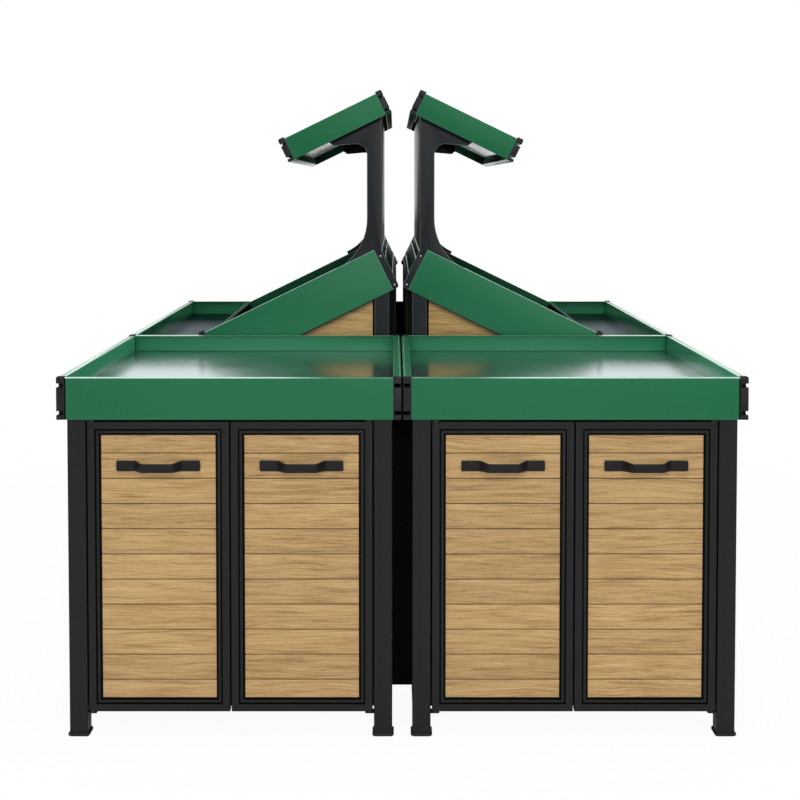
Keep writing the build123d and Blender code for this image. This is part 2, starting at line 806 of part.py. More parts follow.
with BuildPart() as plate_bolts:
    for side in (-1, 1):
        for face_y, out in ((y_join + plate_seat, -1), (y_far - plate_seat, 1)):
            for u, v in bolt_places:
                spot = slope_point(side, u, v)
                with BuildSketch(xz(face_y)) as head:
                    with Locations(spot):
                        Circle(bolt_head_radius)
                extrude(head.sketch, amount=bolt_head_height, dir=(0, out, 0))
                with BuildSketch(xz(face_y)) as shank:
                    with Locations(spot):
                        Circle(bolt_radius)
                extrude(shank.sketch, amount=plate_thick, dir=(0, -out, 0))
save(plate_bolts, "plate_bolts")

with BuildPart() as tie_bars:
    mid_x = (upright_in + upright_out) / 2
    low_z = height_on(slope_back_x, slope_back_z, 0, upright_in) + tie_above_rim
    high_z = arm_z - tie_below_arm - tie_size
    for side in (-1, 1):
        for z in (low_z, high_z):
            x = side_span(side, (mid_x - tie_size / 2, mid_x + tie_size / 2))
            y = (y_join + plate_back, y_far - plate_back)
            bar_along_y(x, y, (z, z + tie_size), tie_wall)
save(tie_bars, "tie_bars")

# Inclined trays on the side plates: a tall cover sheet at the door end, a low one at the
# far end, and the tray's own end walls inside the plates.
between_plates = (y_join + plate_back, y_far - plate_back)
with BuildPart() as slope_panels:
    for side in (-1, 1):
        near_end = (y_join + panel_sheet, 1, 0, slope_lip_start)
        far_end = (y_far - panel_sheet, -1, -slope_wall_drop, step_start + plate_edge)
        for y, out, top, lip_start in (near_end, far_end):
            face = [
                slope_point(side, 0, top),
                slope_point(side, slope_length, top),
                slope_point(side, slope_length, -slope_wall),
                slope_point(side, 0, -slope_wall),
            ]
            sheet_y = sorted((y, y + out * panel_sheet))
            prism(face, sheet_y)
            lip = [
                slope_point(side, lip_start, top),
                slope_point(side, slope_length, top),
                slope_point(side, slope_length, top - panel_sheet),
                slope_point(side, lip_start, top - panel_sheet),
            ]
            prism(lip, sorted((y + out * panel_sheet, y + out * panel_top_lip)))
        wall = [
            slope_point(side, 0, -slope_wall_drop),
            slope_point(side, slope_length, -slope_wall_drop),
            slope_point(side, slope_length, -slope_deck_drop),
            slope_point(side, 0, -slope_deck_drop),
        ]
        prism(wall, (between_plates[0], between_plates[0] + panel_sheet))
        prism(wall, (between_plates[1] - panel_sheet, between_plates[1]))
        below = (base_top - slope_wall, base_top + panel_sheet)
        block(side_span(side, (0, half_width)), (y_join, y_far), below, mode=Mode.SUBTRACT)
save(slope_panels, "slope_tray_panels")

with BuildPart() as slope_rails:
    for side in (-1, 1):
        for place in (slope_front_rail, slope_back_rail):
            prism(place(side, slope_section), between_plates)
            prism(place(side, slope_bore), between_plates, Mode.SUBTRACT)
save(slope_rails, "slope_tray_edge_rails")

with BuildPart() as slope_decks:
    for side in (-1, 1):
        under = -slope_deck_drop - deck_sheet
        deck = [
            slope_point(side, 0, -slope_deck_drop),
            slope_point(side, slope_length, -slope_deck_drop),
            slope_point(side, slope_length, under),
            slope_point(side, 0, under),
        ]
        prism(deck, between_plates)
        flange = [
            slope_point(side, 0, under),
            slope_point(side, slope_length, under),
            slope_point(side, slope_length, under - slope_deck_flange),
            slope_point(side, 0, under - slope_deck_flange),
        ]
        prism(flange, (between_plates[0], between_plates[0] + deck_sheet))
        prism(flange, (between_plates[1] - deck_sheet, between_plates[1]))
        lip_y = (between_plates[0] + panel_sheet, between_plates[1] - panel_sheet)
        lip_top = slope_deck_lip - slope_deck_drop
        for low_u in (0, slope_length - deck_sheet):
            lip = [
                slope_point(side, low_u, under),
                slope_point(side, low_u + deck_sheet, under),
                slope_point(side, low_u + deck_sheet, lip_top),
                slope_point(side, low_u, lip_top),
            ]
            prism(lip, lip_y)
save(slope_decks, "slope_tray_decks")

# Wood infill under each end of the inclined trays.
with BuildPart() as infills:
    for side in (-1, 1):
        line = plate_foot + infill_lap
        low_x = post_out + infill_gap
        corners = [
            (side * low_x, base_top),
            (side * reach_on(slope_back_x, slope_back_z, line, base_top), base_top),
            (side * low_x, height_on(slope_back_x, slope_back_z, line, low_x)),
        ]
        prism(corners, (y_join + plate_back, y_join + plate_back + infill_thick))
        prism(corners, (y_far - plate_back - infill_thick, y_far - plate_back))
save(infills, "slope_tray_infills")

# Top trays on the arms.
with BuildPart() as top_panels:
    for side in (-1, 1):
        for y, out in ((y_join + panel_sheet, 1), (y_far - panel_sheet, -1)):
            face = [
                top_point(side, 0, 0),
                top_point(side, top_length, 0),
                top_point(side, top_length, -top_wall),
                top_point(side, 0, -top_wall),
            ]
            prism(face, sorted((y, y + out * panel_sheet)))
            lip = [
                top_point(side, 0, 0),
                top_point(side, top_length, 0),
                top_point(side, top_length, -panel_sheet),
                top_point(side, 0, -panel_sheet),
            ]
            prism(lip, sorted((y + out * panel_sheet, y + out * panel_top_lip)))
save(top_panels, "top_tray_panels")

with BuildPart() as top_rails:
    for side in (-1, 1):
        y = (y_join + panel_sheet + cap_thick, y_far - panel_sheet - cap_thick)
        for place in (top_front_rail, top_back_rail):
            prism(place(side, top_section), y)
            prism(place(side, top_bore), y, Mode.SUBTRACT)
save(top_rails, "top_tray_edge_rails")

with BuildPart() as top_decks:
    for side in (-1, 1):
        deck = [
            top_point(side, 0, -top_deck_drop),
            top_point(side, top_length, -top_deck_drop),
            top_point(side, top_length, arm_line),
            top_point(side, 0, arm_line),
        ]
        prism(deck, (y_join + plate_seat, y_far - plate_seat))
save(top_decks, "top_tray_decks")

# End caps on the edge rails of the flat and top trays.
with BuildPart() as end_tray_caps:
    for side in (-1, 1):
        for place in (outer_rail, inner_rail):
            prism(place(side, wall_cap), (y_front, y_front + cap_thick))
            prism(place(side, wall_cap), (y_join - cap_thick, y_join))
save(end_tray_caps, "end_tray_end_caps")

with BuildPart() as rack_caps:
    for side in (-1, 1):
        prism(outer_rail(side, wall_cap), (y_join, y_join + cap_thick))
        prism(outer_rail(side, wall_cap), (y_far - cap_thick, y_far))
        for place in (top_front_rail, top_back_rail):
            near_y = y_join + panel_sheet
            prism(place(side, top_cap), (near_y, near_y + cap_thick))
            prism(place(side, top_cap), (y_far - panel_sheet - cap_thick, y_far - panel_sheet))
save(rack_caps, "rack_tray_end_caps")

# Back covers of the racks: a pan behind each base that runs up between the side plates with
# a flange folded behind each post, and a shallow pan behind the tie bars of the uprights.
# Fillers close the centre gap and join the halves.
cover_top = slope_point(1, 0, -slope_wall)[1] - cover_below_plate
cover_head = height_on(slope_back_x, slope_back_z, -slope_rail, leg_in[0]) - cover_play
cover_in = leg_in[0] - cover_thick
upper_out = (upright_in + upright_out - tie_size) / 2
upper_low = slope_point(1, -rail_thick, -slope_wall_drop)[1] + cover_play
upper_high = height_on(top_back_x, top_back_z, arm_line, upper_out) - cover_play
with BuildPart() as covers:
    for side in (-1, 1):
        y = (y_join + leg_setback, y_far - leg_setback)
        z = (cover_bottom, cover_top)
        block(side_span(side, (cover_in, leg_in[0])), y, z)
        bore_y = (y[0] + cover_sheet, y[1] - cover_sheet)
        bore_z = (z[0] + cover_sheet, z[1] - cover_sheet)
        block(side_span(side, (cover_in + cover_sheet, leg_in[0])), bore_y, bore_z, mode=Mode.SUBTRACT)
        near_y, far_y = between_plates
        bore_y = (near_y + cover_sheet, far_y - cover_sheet)
        block(side_span(side, (cover_in, leg_in[0])), between_plates, (cover_top, cover_head))
        bore_z = (cover_top - cover_sheet, cover_head - cover_sheet)
        block(side_span(side, (cover_in + cover_sheet, leg_in[0])), bore_y, bore_z, mode=Mode.SUBTRACT)
        for y in ((near_y, near_y + cover_sheet), (far_y - cover_sheet, far_y)):
            block(side_span(side, (cover_in, post_in + cover_lap)), y, (base_top, cover_top))
        block(side_span(side, (upright_in, upper_out)), between_plates, (upper_low, upper_high))
        bore_z = (upper_low + cover_sheet, upper_high - cover_sheet)
        block(side_span(side, (upright_in + cover_sheet, upper_out)), bore_y, bore_z, mode=Mode.SUBTRACT)
save(covers, "rack_back_covers")

with BuildPart() as fillers:
    front_y = door_face + filler_setback
    block((-leg_in[0], leg_in[0]), (front_y, front_y + filler_depth), (filler_bottom, base_top))
    inner = leg_in[0] - filler_sheet
    bore_y = (front_y + filler_sheet, front_y + filler_depth)
    block((-inner, inner), bore_y, (filler_bottom, base_top), mode=Mode.SUBTRACT)
    back_y = y_far - leg_setback
    block((-cover_in, cover_in), (back_y - filler_depth, back_y), (filler_bottom, rim_height))
    inner = cover_in - filler_sheet
    bore_y = (back_y - filler_depth, back_y - filler_sheet)
    block((-inner, inner), bore_y, (filler_bottom, rim_height), mode=Mode.SUBTRACT)
save(fillers, "centre_fillers")
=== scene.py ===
import json
import math

import bmesh
import bpy
from mathutils import Matrix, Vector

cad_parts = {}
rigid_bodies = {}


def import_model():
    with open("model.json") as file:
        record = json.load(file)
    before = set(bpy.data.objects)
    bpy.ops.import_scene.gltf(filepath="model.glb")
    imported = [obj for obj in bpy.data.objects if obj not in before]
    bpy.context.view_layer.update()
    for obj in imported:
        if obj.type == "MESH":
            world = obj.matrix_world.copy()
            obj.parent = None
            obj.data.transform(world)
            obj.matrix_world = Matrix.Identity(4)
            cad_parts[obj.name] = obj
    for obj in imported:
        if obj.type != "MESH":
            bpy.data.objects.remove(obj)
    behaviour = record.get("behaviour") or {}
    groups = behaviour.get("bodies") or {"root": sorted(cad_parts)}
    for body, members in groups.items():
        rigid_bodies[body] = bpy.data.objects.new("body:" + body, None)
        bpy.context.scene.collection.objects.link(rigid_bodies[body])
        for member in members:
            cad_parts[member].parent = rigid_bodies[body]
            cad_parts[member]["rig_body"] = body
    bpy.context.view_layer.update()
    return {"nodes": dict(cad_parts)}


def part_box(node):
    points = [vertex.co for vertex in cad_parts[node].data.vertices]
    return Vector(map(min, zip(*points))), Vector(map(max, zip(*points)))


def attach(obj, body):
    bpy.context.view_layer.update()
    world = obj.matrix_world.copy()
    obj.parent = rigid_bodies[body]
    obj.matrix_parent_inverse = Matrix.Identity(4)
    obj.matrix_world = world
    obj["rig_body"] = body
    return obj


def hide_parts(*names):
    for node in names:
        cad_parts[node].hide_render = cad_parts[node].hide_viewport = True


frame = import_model()

# Base frames: square steel tube legs with flat rails between them, welded together and
# sprayed with a fine black powder coat. One frame stands under each half of the end
# cabinet and of the rack, and carries the tray and the panels.
BLACK = (0.0125, 0.0128, 0.0140)
BLACK_FINISH = (0.40, 0.16)  # a finish is roughness and gloss
COAT_PEEL = (420.0, 0.06, 0.00006)  # a peel is bumps per metre, cloudiness and depth
NOISE_SPAN = (0.3, 0.7)
CLOUDS_PER_METRE = 2.6
SPECKS_PER_METRE = 1700.0
SPECK_SHADE = (0.93, 1.07)
PEEL_ROUGHNESS = (-0.04, 0.05)
CLOUD_ROUGHNESS = 0.5


def add(tree, kind, sockets=None, **settings):
    made = tree.nodes.new(kind)
    for name, value in settings.items():
        setattr(made, name, value)
    for name, value in (sockets or {}).items():
        if isinstance(value, bpy.types.NodeSocket):
            tree.links.new(value, made.inputs[name])
        else:
            made.inputs[name].default_value = value
    return made


def group(kind, name, inputs, outputs):
    tree = bpy.data.node_groups.new(name, kind)
    for title, (sort, value) in inputs.items():
        kind_of_socket = "NodeSocket" + sort
        socket = tree.interface.new_socket(title, in_out="INPUT", socket_type=kind_of_socket)
        if value is not None:
            socket.default_value = value
    for title, sort in outputs.items():
        tree.interface.new_socket(title, in_out="OUTPUT", socket_type="NodeSocket" + sort)
    given = tree.nodes.new("NodeGroupInput").outputs
    taken = tree.nodes.new("NodeGroupOutput").inputs
    return tree, given, taken


def fill(tree, taken, **results):
    for name, socket in results.items():
        tree.links.new(socket, taken[name])


def sums(tree, how, first, second, **settings):
    values = {0: first, 1: second}
    return add(tree, "ShaderNodeMath", values, operation=how, **settings).outputs[0]


def vectors(tree, how, first, second):
    values = {0: first, 1: second}
    return add(tree, "ShaderNodeVectorMath", values, operation=how).outputs[0]


def scaled(tree, vector, by):
    values = {0: vector, "Scale": by}
    return add(tree, "ShaderNodeVectorMath", values, operation="SCALE").outputs[0]


def ramp(tree, value, low, high, to_low, to_high):
    limits = {"From Min": low, "From Max": high, "To Min": to_low, "To Max": to_high}
    return add(tree, "ShaderNodeMapRange", {"Value": value, **limits}).outputs[0]


def object_spot(tree):
    return add(tree, "ShaderNodeTexCoord").outputs["Object"]


def noise(tree, vector, scale, detail, **more):
    values = {"Vector": vector, "Scale": scale, "Detail": detail, **more}
    return add(tree, "ShaderNodeTexNoise", values).outputs[0]


powder, given, taken = group(
    "ShaderNodeTree",
    "powder_coat",
    {
        "Colour": ("Color", (*BLACK, 1)),
        "Roughness": ("Float", BLACK_FINISH[0]),
        "Peel per metre": ("Float", COAT_PEEL[0]),
        "Cloud": ("Float", COAT_PEEL[1]),
    },
    {"Colour": "Color", "Roughness": "Float", "Height": "Float"},
)
spot = object_spot(powder)
peel = noise(powder, spot, given["Peel per metre"], detail=2.0)
cloud = noise(powder, spot, CLOUDS_PER_METRE, detail=3.0)
speck = noise(powder, spot, SPECKS_PER_METRE, detail=1.0)
swing = ramp(powder, cloud, *NOISE_SPAN, -1.0, 1.0)
swing = sums(powder, "MULTIPLY", swing, given["Cloud"])
shade = sums(powder, "ADD", swing, ramp(powder, speck, *NOISE_SPAN, *SPECK_SHADE))
tinted = scaled(powder, given["Colour"], shade)
matt = ramp(powder, peel, *NOISE_SPAN, *PEEL_ROUGHNESS)
matt = sums(powder, "ADD", given["Roughness"], matt)
matt = sums(powder, "ADD", matt, sums(powder, "MULTIPLY", swing, CLOUD_ROUGHNESS))
fill(powder, taken, Colour=tinted, Roughness=matt, Height=peel)


def skinned(name, skin_tree, values, depth):
    material = bpy.data.materials.new(name)
    material.use_nodes = True
    tree = material.node_tree
    skin = add(tree, "ShaderNodeGroup", values, node_tree=skin_tree).outputs
    relief = {"Height": skin["Height"], "Strength": 1.0, "Distance": depth}
    bump = add(tree, "ShaderNodeBump", relief)
    shader = tree.nodes["Principled BSDF"].inputs
    tree.links.new(skin["Colour"], shader["Base Color"])
    tree.links.new(skin["Roughness"], shader["Roughness"])
    tree.links.new(bump.outputs[0], shader["Normal"])
    return material, shader


def coated(name, colour, finish, peel=COAT_PEEL):
    values = {
        "Colour": (*colour, 1),
        "Roughness": finish[0],
        "Peel per metre": peel[0],
        "Cloud": peel[1],
    }
    material, shader = skinned(name, powder, values, peel[2])
    shader["Specular IOR Level"].default_value = finish[1]
    return material


def finished(material, *nodes):
    for name in nodes:
        for slot in frame["nodes"][name].material_slots:
            slot.material = material


black_coat = coated("fine_black_powder_coat", BLACK, BLACK_FINISH)
for base in ("end_cabinet_left", "end_cabinet_right", "rack_left", "rack_right"):
    finished(black_coat, base + "_legs", base + "_rails")

# Foot glides: moulded black pads pushed up into the open end of each leg. The pad flares
# out past the tube and draws in again to the floor, so a thin ledge shows round the leg.
FOOT_BASE = 0.041
FOOT_WIDTH = 0.047
FOOT_LEDGE = 0.0445
FOOT_CORNER = 0.004
FOOT_CORNER_STEPS = 5
FOOT_RISES = (0.0028, 0.0036, 0.0016)
WELD = 1e-6
PLASTIC = (0.0105, 0.0105, 0.0115)
PLASTIC_FINISH = (0.46, 0.20)
PLASTIC_PEEL = (900.0, 0.04, 0.00003)
LEG_LINES_X = (0.042, 0.708)
LEG_LINES_Y = (-1.0125, -0.1625, -0.1125, 1.0375)
SHARP_ANGLE = 35

black_plastic = coated("moulded_black_plastic", PLASTIC, PLASTIC_FINISH, PLASTIC_PEEL)


def closed(tree, base, raised):
    under = add(tree, "GeometryNodeFlipFaces", {"Mesh": base}).outputs[0]
    both = add(tree, "GeometryNodeJoinGeometry")
    tree.links.new(under, both.inputs[0])
    tree.links.new(raised, both.inputs[0])
    whole = {"Geometry": both.outputs[0], "Distance": WELD}
    return add(tree, "GeometryNodeMergeByDistance", whole).outputs[0]


def swell(tree, base, steps):
    shape, top = base, True
    for rise, size in steps:
        push = {"Mesh": shape, "Selection": top, "Offset Scale": rise}
        pushed = add(tree, "GeometryNodeExtrudeMesh", push)
        shape, top = pushed.outputs["Mesh"], pushed.outputs["Top"]
        sized = {"Geometry": shape, "Selection": top, "Scale": size}
        shape = add(tree, "GeometryNodeScaleElements", sized).outputs[0]
    return closed(tree, base, shape)


def dressed(tree, shape, material):
    values = {"Geometry": shape, "Material": material}
    return add(tree, "GeometryNodeSetMaterial", values).outputs[0]


def spread(tree, places, shape, material, **more):
    copies = {"Points": places, "Instance": shape, **more}
    copies = add(tree, "GeometryNodeInstanceOnPoints", copies).outputs[0]
    copies = add(tree, "GeometryNodeRealizeInstances", {"Geometry": copies}).outputs[0]
    return dressed(tree, copies, material)


foot_tree, given, taken = group(
    "GeometryNodeTree",
    "foot_glides",
    {
        "Places": ("Geometry", None),
        "Base": ("Float", FOOT_BASE),
        "Width": ("Float", FOOT_WIDTH),
        "Ledge": ("Float", FOOT_LEDGE),
        "Corner": ("Float", FOOT_CORNER),
        "Draft": ("Float", FOOT_RISES[0]),
        "Wall": ("Float", FOOT_RISES[1]),
        "Top": ("Float", FOOT_RISES[2]),
        "Material": ("Material", None),
    },
    {"Feet": "Geometry"},
)
square = {"Width": given["Base"], "Height": given["Base"]}
square = add(foot_tree, "GeometryNodeCurvePrimitiveQuadrilateral", square).outputs[0]
corner = {"Curve": square, "Count": FOOT_CORNER_STEPS, "Radius": given["Corner"]}
outline = add(foot_tree, "GeometryNodeFilletCurve", corner, mode="POLY").outputs[0]
base = add(foot_tree, "GeometryNodeFillCurve", {"Curve": outline}, mode="NGONS").outputs[0]
flare = (given["Draft"], sums(foot_tree, "DIVIDE", given["Width"], given["Base"]))
ledge = (given["Top"], sums(foot_tree, "DIVIDE", given["Ledge"], given["Width"]))
pad = swell(foot_tree, base, (flare, (given["Wall"], 1.0), ledge))
fill(foot_tree, taken, Feet=spread(foot_tree, given["Places"], pad, given["Material"]))


def grown(name, tree, inputs, points=((0, 0, 0),), facing=None):
    seed = bpy.data.meshes.new(name + "_places")
    seed.from_pydata(points, [], [])
    if facing:
        seed.attributes.new("facing", "FLOAT", "POINT").data.foreach_set("value", facing)
    holder = bpy.data.objects.new(name + "_places", seed)
    bpy.context.scene.collection.objects.link(holder)
    maker = holder.modifiers.new(name, "NODES")
    maker.node_group = tree
    for item in tree.interface.items_tree:
        if item.item_type == "SOCKET" and item.in_out == "INPUT" and item.name in inputs:
            maker[item.identifier] = inputs[item.name]
    ready = holder.evaluated_get(bpy.context.evaluated_depsgraph_get())
    mesh = bpy.data.meshes.new_from_object(ready)
    mesh.name = name
    bpy.data.objects.remove(holder)
    bpy.data.meshes.remove(seed)
    mesh.shade_smooth()
    mesh.set_sharp_from_angle(angle=math.radians(SHARP_ANGLE))
    return mesh


def fitted(name, mesh, body, slot, *nodes):
    piece = bpy.data.objects.new(name, mesh)
    bpy.context.scene.collection.objects.link(piece)
    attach(piece, body)
    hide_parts(*nodes)
    return piece


foot_places = [(side * x, y, 0) for side in (-1, 1) for x in LEG_LINES_X for y in LEG_LINES_Y]
feet_mesh = grown("moulded_feet", foot_tree, {"Material": black_plastic}, foot_places)
fitted("moulded_feet", feet_mesh, "rack", "black_plastic", "foot_glides")

# Cabinet lining: the bottom shelf, the back and the inner side of each end cabinet are flat
# steel sheets tacked to the rails, in the same black coat a little flatter.
LINING_FINISH = (0.52, 0.25)
LINING_PEEL = (300.0, 0.10, 0.00006)
lining_coat = coated("flat_black_powder_coat", BLACK, LINING_FINISH, LINING_PEEL)
finished(lining_coat, "end_cabinet_shelves")
finished(lining_coat, "end_cabinet_back_panels", "end_cabinet_inner_panels")

# Panel frames: pressed steel frames with a shadow groove and a set-back bead round the
# boards. The groove's faces are near-black as painted shade, and a thin near-black strip
# along the boards' border is painted shadow in the reveal. Four are hung as doors, the
# others are fixed between the legs.
FRAME_EDGE = 0.0004
FRAME_RIM = 0.010
FRAME_WIDTH = 0.0275
GROOVE_FROM = 0.0016
GROOVE_TO = 0.0185
# Near-black painted shade, used in grooves, slots, notches and gaps where shade falls.
PAINTED_SHADE_BLACK = (0.0022, 0.0022, 0.0024)
PAINTED_SHADE_FINISH = (0.6, 0.05)
# Size and depth of the near-black strips in the reveal round the boards: painted shadow.
REVEAL_SHADOW_WIDTH = 0.0024
REVEAL_SHADOW_LAP = 0.0002
REVEAL_SHADOW_DEPTH = (0.0049, 0.0062)
EDGE_LIMIT = 24
JOIN_WITHIN = 0.00002
FLAT_WITHIN = 0.5
DOORS = ("door_left_outer", "door_left_inner", "door_right_inner", "door_right_outer")

painted_shade_black = coated("painted_shade_black_coat", PAINTED_SHADE_BLACK, PAINTED_SHADE_FINISH)


def rounded(node, radius, material, slot, limit=EDGE_LIMIT):
    source = frame["nodes"][node]
    shell = bmesh.new()
    shell.from_mesh(source.data)
    bmesh.ops.remove_doubles(shell, verts=shell.verts, dist=JOIN_WITHIN)
    flat = math.radians(FLAT_WITHIN)
    bmesh.ops.dissolve_limit(shell, angle_limit=flat, verts=shell.verts, edges=shell.edges)
    mesh = bpy.data.meshes.new(node + "_rounded")
    shell.to_mesh(mesh)
    shell.free()
    mesh.materials.clear()
    mesh.materials.append(material)
    mesh.shade_smooth()
    piece = fitted(mesh.name, mesh, source["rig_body"], slot, node)
    ease = piece.modifiers.new("eased_edges", "BEVEL")
    ease.width = radius
    ease.segments = 2
    ease.limit_method = "ANGLE"
    ease.angle_limit = math.radians(limit)
    ease.harden_normals = True
    return piece


def edited(mesh, change):
    shell = bmesh.new()
    shell.from_mesh(mesh)
    change(shell)
    shell.to_mesh(mesh)
    shell.free()


def blocks(shell, ranges, index):
    for spans in ranges:
        middle = [sum(span) / 2 for span in spans]
        size = [abs(span[1] - span[0]) for span in spans]
        place = Matrix.Translation(middle) @ Matrix.Diagonal((*size, 1))
        made = bmesh.ops.create_cube(shell, size=1.0, matrix=place)["verts"]
        for face in {face for vert in made for face in vert.link_faces}:
            face.material_index = index


def islands(shell):
    left = dict.fromkeys(shell.faces)
    while left:
        island = [next(iter(left))]
        del left[island[0]]
        for face in island:
            for near in (near for side in face.edges for near in side.link_faces):
                if near in left:
                    del left[near]
                    island.append(near)
        yield island


# Thin near-black strips along the boards' border in each frame, as painted shadow.
def reveal_shadow_strips(low, high, deep, face_at, front):
    wide, tall = (axis for axis in range(3) if axis != deep)
    inner = {axis: (low[axis] + FRAME_WIDTH, high[axis] - FRAME_WIDTH) for axis in (wide, tall)}
    depth = [face_at - front * level for level in REVEAL_SHADOW_DEPTH]
    for axis, other, short in ((wide, tall, 0.0), (tall, wide, REVEAL_SHADOW_WIDTH)):
        for edge, way in zip(inner[axis], (1, -1)):
            spans = {deep: depth, axis: (edge - way * REVEAL_SHADOW_LAP, edge + way * REVEAL_SHADOW_WIDTH)}
            spans[other] = (inner[other][0] + short, inner[other][1] - short)
            yield [spans[number] for number in range(3)]


# Faces deep in each frame's groove take the near-black painted shade.
def groove_painted_shade(shell):
    strips = []
    for island in islands(shell):
        points = [vert.co for face in island for vert in face.verts]
        low = [min(point[axis] for point in points) for axis in range(3)]
        high = [max(point[axis] for point in points) for axis in range(3)]
        deep = min(range(3), key=lambda axis: high[axis] - low[axis])
        front = 1 if low[deep] + high[deep] > 0 else -1
        face_at = high[deep] if front > 0 else low[deep]
        across = [axis for axis in range(3) if axis != deep]
        for face in island:
            middle = face.calc_center_median()
            sunk = (face_at - middle[deep]) * front
            from_low = min(middle[axis] - low[axis] for axis in across)
            from_high = min(high[axis] - middle[axis] for axis in across)
            if GROOVE_FROM < sunk < GROOVE_TO and min(from_low, from_high) > FRAME_RIM:
                face.material_index = 1
        strips.extend(reveal_shadow_strips(low, high, deep, face_at, front))
    blocks(shell, strips, 1)


frame_nodes = [door + "_frame" for door in DOORS]
frame_nodes += ["end_cabinet_left_side_frame", "end_cabinet_right_side_frame", "rack_panel_frames"]
for node in frame_nodes:
    panel_frame = rounded(node, FRAME_EDGE, black_coat, "black_coat")
    panel_frame.data.materials.append(painted_shade_black)
    edited(panel_frame.data, groove_painted_shade)

# Boards: eleven planks of light oak to a panel, laid level and slid into the slot behind
# the bead. Their edges are eased, so each joint is a narrow dark line.
BOARD_COUNT = 11
BOARD_PITCH = 0.0553
BOARD_LENGTH = 0.2785
BOARD_GAP = 0.0015
BOARD_THICK = 0.009
BOARD_ROUND = 0.0016
BOARD_ROUND_STEPS = 3
BOARD_SWING = 0.07
BOARD_SLIDE = (41.0, 7.0, 17.0)
OAK_DARK = (0.275, 0.154, 0.056)
OAK_MIDDLE = (0.474, 0.300, 0.125)
OAK_LIGHT = (0.605, 0.410, 0.192)
OAK_PORE = (0.270, 0.150, 0.060)
OAK_TINTS = ((0.985, 0.985, 0.985), (0.90, 0.90, 0.90))
OAK_GLOSS = 0.30
OAK_RELIEF = 0.00012
OAK_ROUGHNESS = (0.58, 0.46)
BEND_SCALE = (5.0, 20.0, 20.0)
BEND_SPAN = (0.25, 0.75)
BEND_REACH = 0.007
FIGURE_SCALE = (6.0, 80.0, 80.0)
RING_SCALE = (9.0, 400.0, 400.0)
FIBRE_SCALE = (60.0, 700.0, 700.0)
PORE_SCALE = (60.0, 620.0, 620.0)
RING_SPAN = (0.33, 0.67)
EARLY_SPAN = (0.15, 0.5)
LIGHT_SPAN = (0.5, 0.9)
PORE_SPAN = (0.63, 0.75)
PORE_SHARE = 0.6
DULL_SPAN = (0.2, 0.9)
RING_SHARE, FIGURE_SHARE, FIBRE_SHARE = 0.55, 0.30, 0.15

oak_grain, given, taken = group(
    "ShaderNodeTree",
    "oak_grain",
    {
        "Dark": ("Color", (*OAK_DARK, 1)),
        "Middle": ("Color", (*OAK_MIDDLE, 1)),
        "Light": ("Color", (*OAK_LIGHT, 1)),
        "Pore": ("Color", (*OAK_PORE, 1)),
        "Board swing": ("Float", BOARD_SWING),
    },
    {"Colour": "Color", "Roughness": "Float", "Height": "Float"},
)


def stored(tree, name):
    settings = {"attribute_name": name, "attribute_type": "GEOMETRY"}
    return add(tree, "ShaderNodeAttribute", **settings).outputs


def streaks(tree, vector, size, detail, rough=0.6, twist=0.0):
    length = add(tree, "ShaderNodeMapping", {"Vector": vector, "Scale": size}).outputs[0]
    return noise(tree, length, 1.0, detail, Roughness=rough, Distortion=twist)


def weighed(tree, value, span, share):
    return sums(tree, "MULTIPLY", ramp(tree, value, *span, 0.0, 1.0), share)


def blend(tree, share, first, second):
    values = {0: share, 6: first, 7: second}
    return add(tree, "ShaderNodeMix", values, data_type="RGBA").outputs[2]


def on_axis(tree, axis, value):
    return add(tree, "ShaderNodeCombineXYZ", {axis: value}).outputs[0]


plank = stored(oak_grain, "board")["Fac"]
along = stored(oak_grain, "grain")["Vector"]
bend = streaks(oak_grain, along, BEND_SCALE, detail=2.0, rough=0.5)
bend = ramp(oak_grain, bend, *BEND_SPAN, -BEND_REACH, BEND_REACH)
bent = vectors(oak_grain, "ADD", along, on_axis(oak_grain, "Z", bend))
figure = streaks(oak_grain, bent, FIGURE_SCALE, detail=3.0, twist=0.3)
rings = streaks(oak_grain, bent, RING_SCALE, detail=4.0, rough=0.7, twist=0.15)
fibre = streaks(oak_grain, along, FIBRE_SCALE, detail=3.0, rough=0.7)
vessel = streaks(oak_grain, bent, PORE_SCALE, detail=1.0)
tone = weighed(oak_grain, rings, RING_SPAN, RING_SHARE)
tone = sums(oak_grain, "ADD", tone, weighed(oak_grain, figure, NOISE_SPAN, FIGURE_SHARE))
tone = sums(oak_grain, "ADD", tone, weighed(oak_grain, fibre, NOISE_SPAN, FIBRE_SHARE))
early_share = ramp(oak_grain, tone, *EARLY_SPAN, 0.0, 1.0)
light_share = ramp(oak_grain, tone, *LIGHT_SPAN, 0.0, 1.0)
grained = blend(oak_grain, early_share, given["Dark"], given["Middle"])
grained = blend(oak_grain, light_share, grained, given["Light"])
hole = ramp(oak_grain, vessel, *PORE_SPAN, 0.0, PORE_SHARE)
grained = blend(oak_grain, hole, grained, given["Pore"])
lift = ramp(oak_grain, plank, 0.0, 1.0, -1.0, 1.0)
lift = sums(oak_grain, "MULTIPLY", lift, given["Board swing"])
grained = scaled(oak_grain, grained, sums(oak_grain, "ADD", lift, 1.0))
dull = ramp(oak_grain, tone, *DULL_SPAN, *OAK_ROUGHNESS)
relief = sums(oak_grain, "SUBTRACT", tone, hole)
fill(oak_grain, taken, Colour=grained, Roughness=dull, Height=relief)


def oak_finish(name, shade, deep):
    tones = {
        "Dark": (OAK_DARK, deep),
        "Middle": (OAK_MIDDLE, shade),
        "Light": (OAK_LIGHT, shade),
        "Pore": (OAK_PORE, deep),
    }
    values = {}
    for title, pair in tones.items():
        values[title] = (*[part * by for part, by in zip(*pair)], 1)
    material, shader = skinned(name, oak_grain, values, OAK_RELIEF)
    shader["Specular IOR Level"].default_value = OAK_GLOSS
    return material


oak = oak_finish("light_oak", *OAK_TINTS)

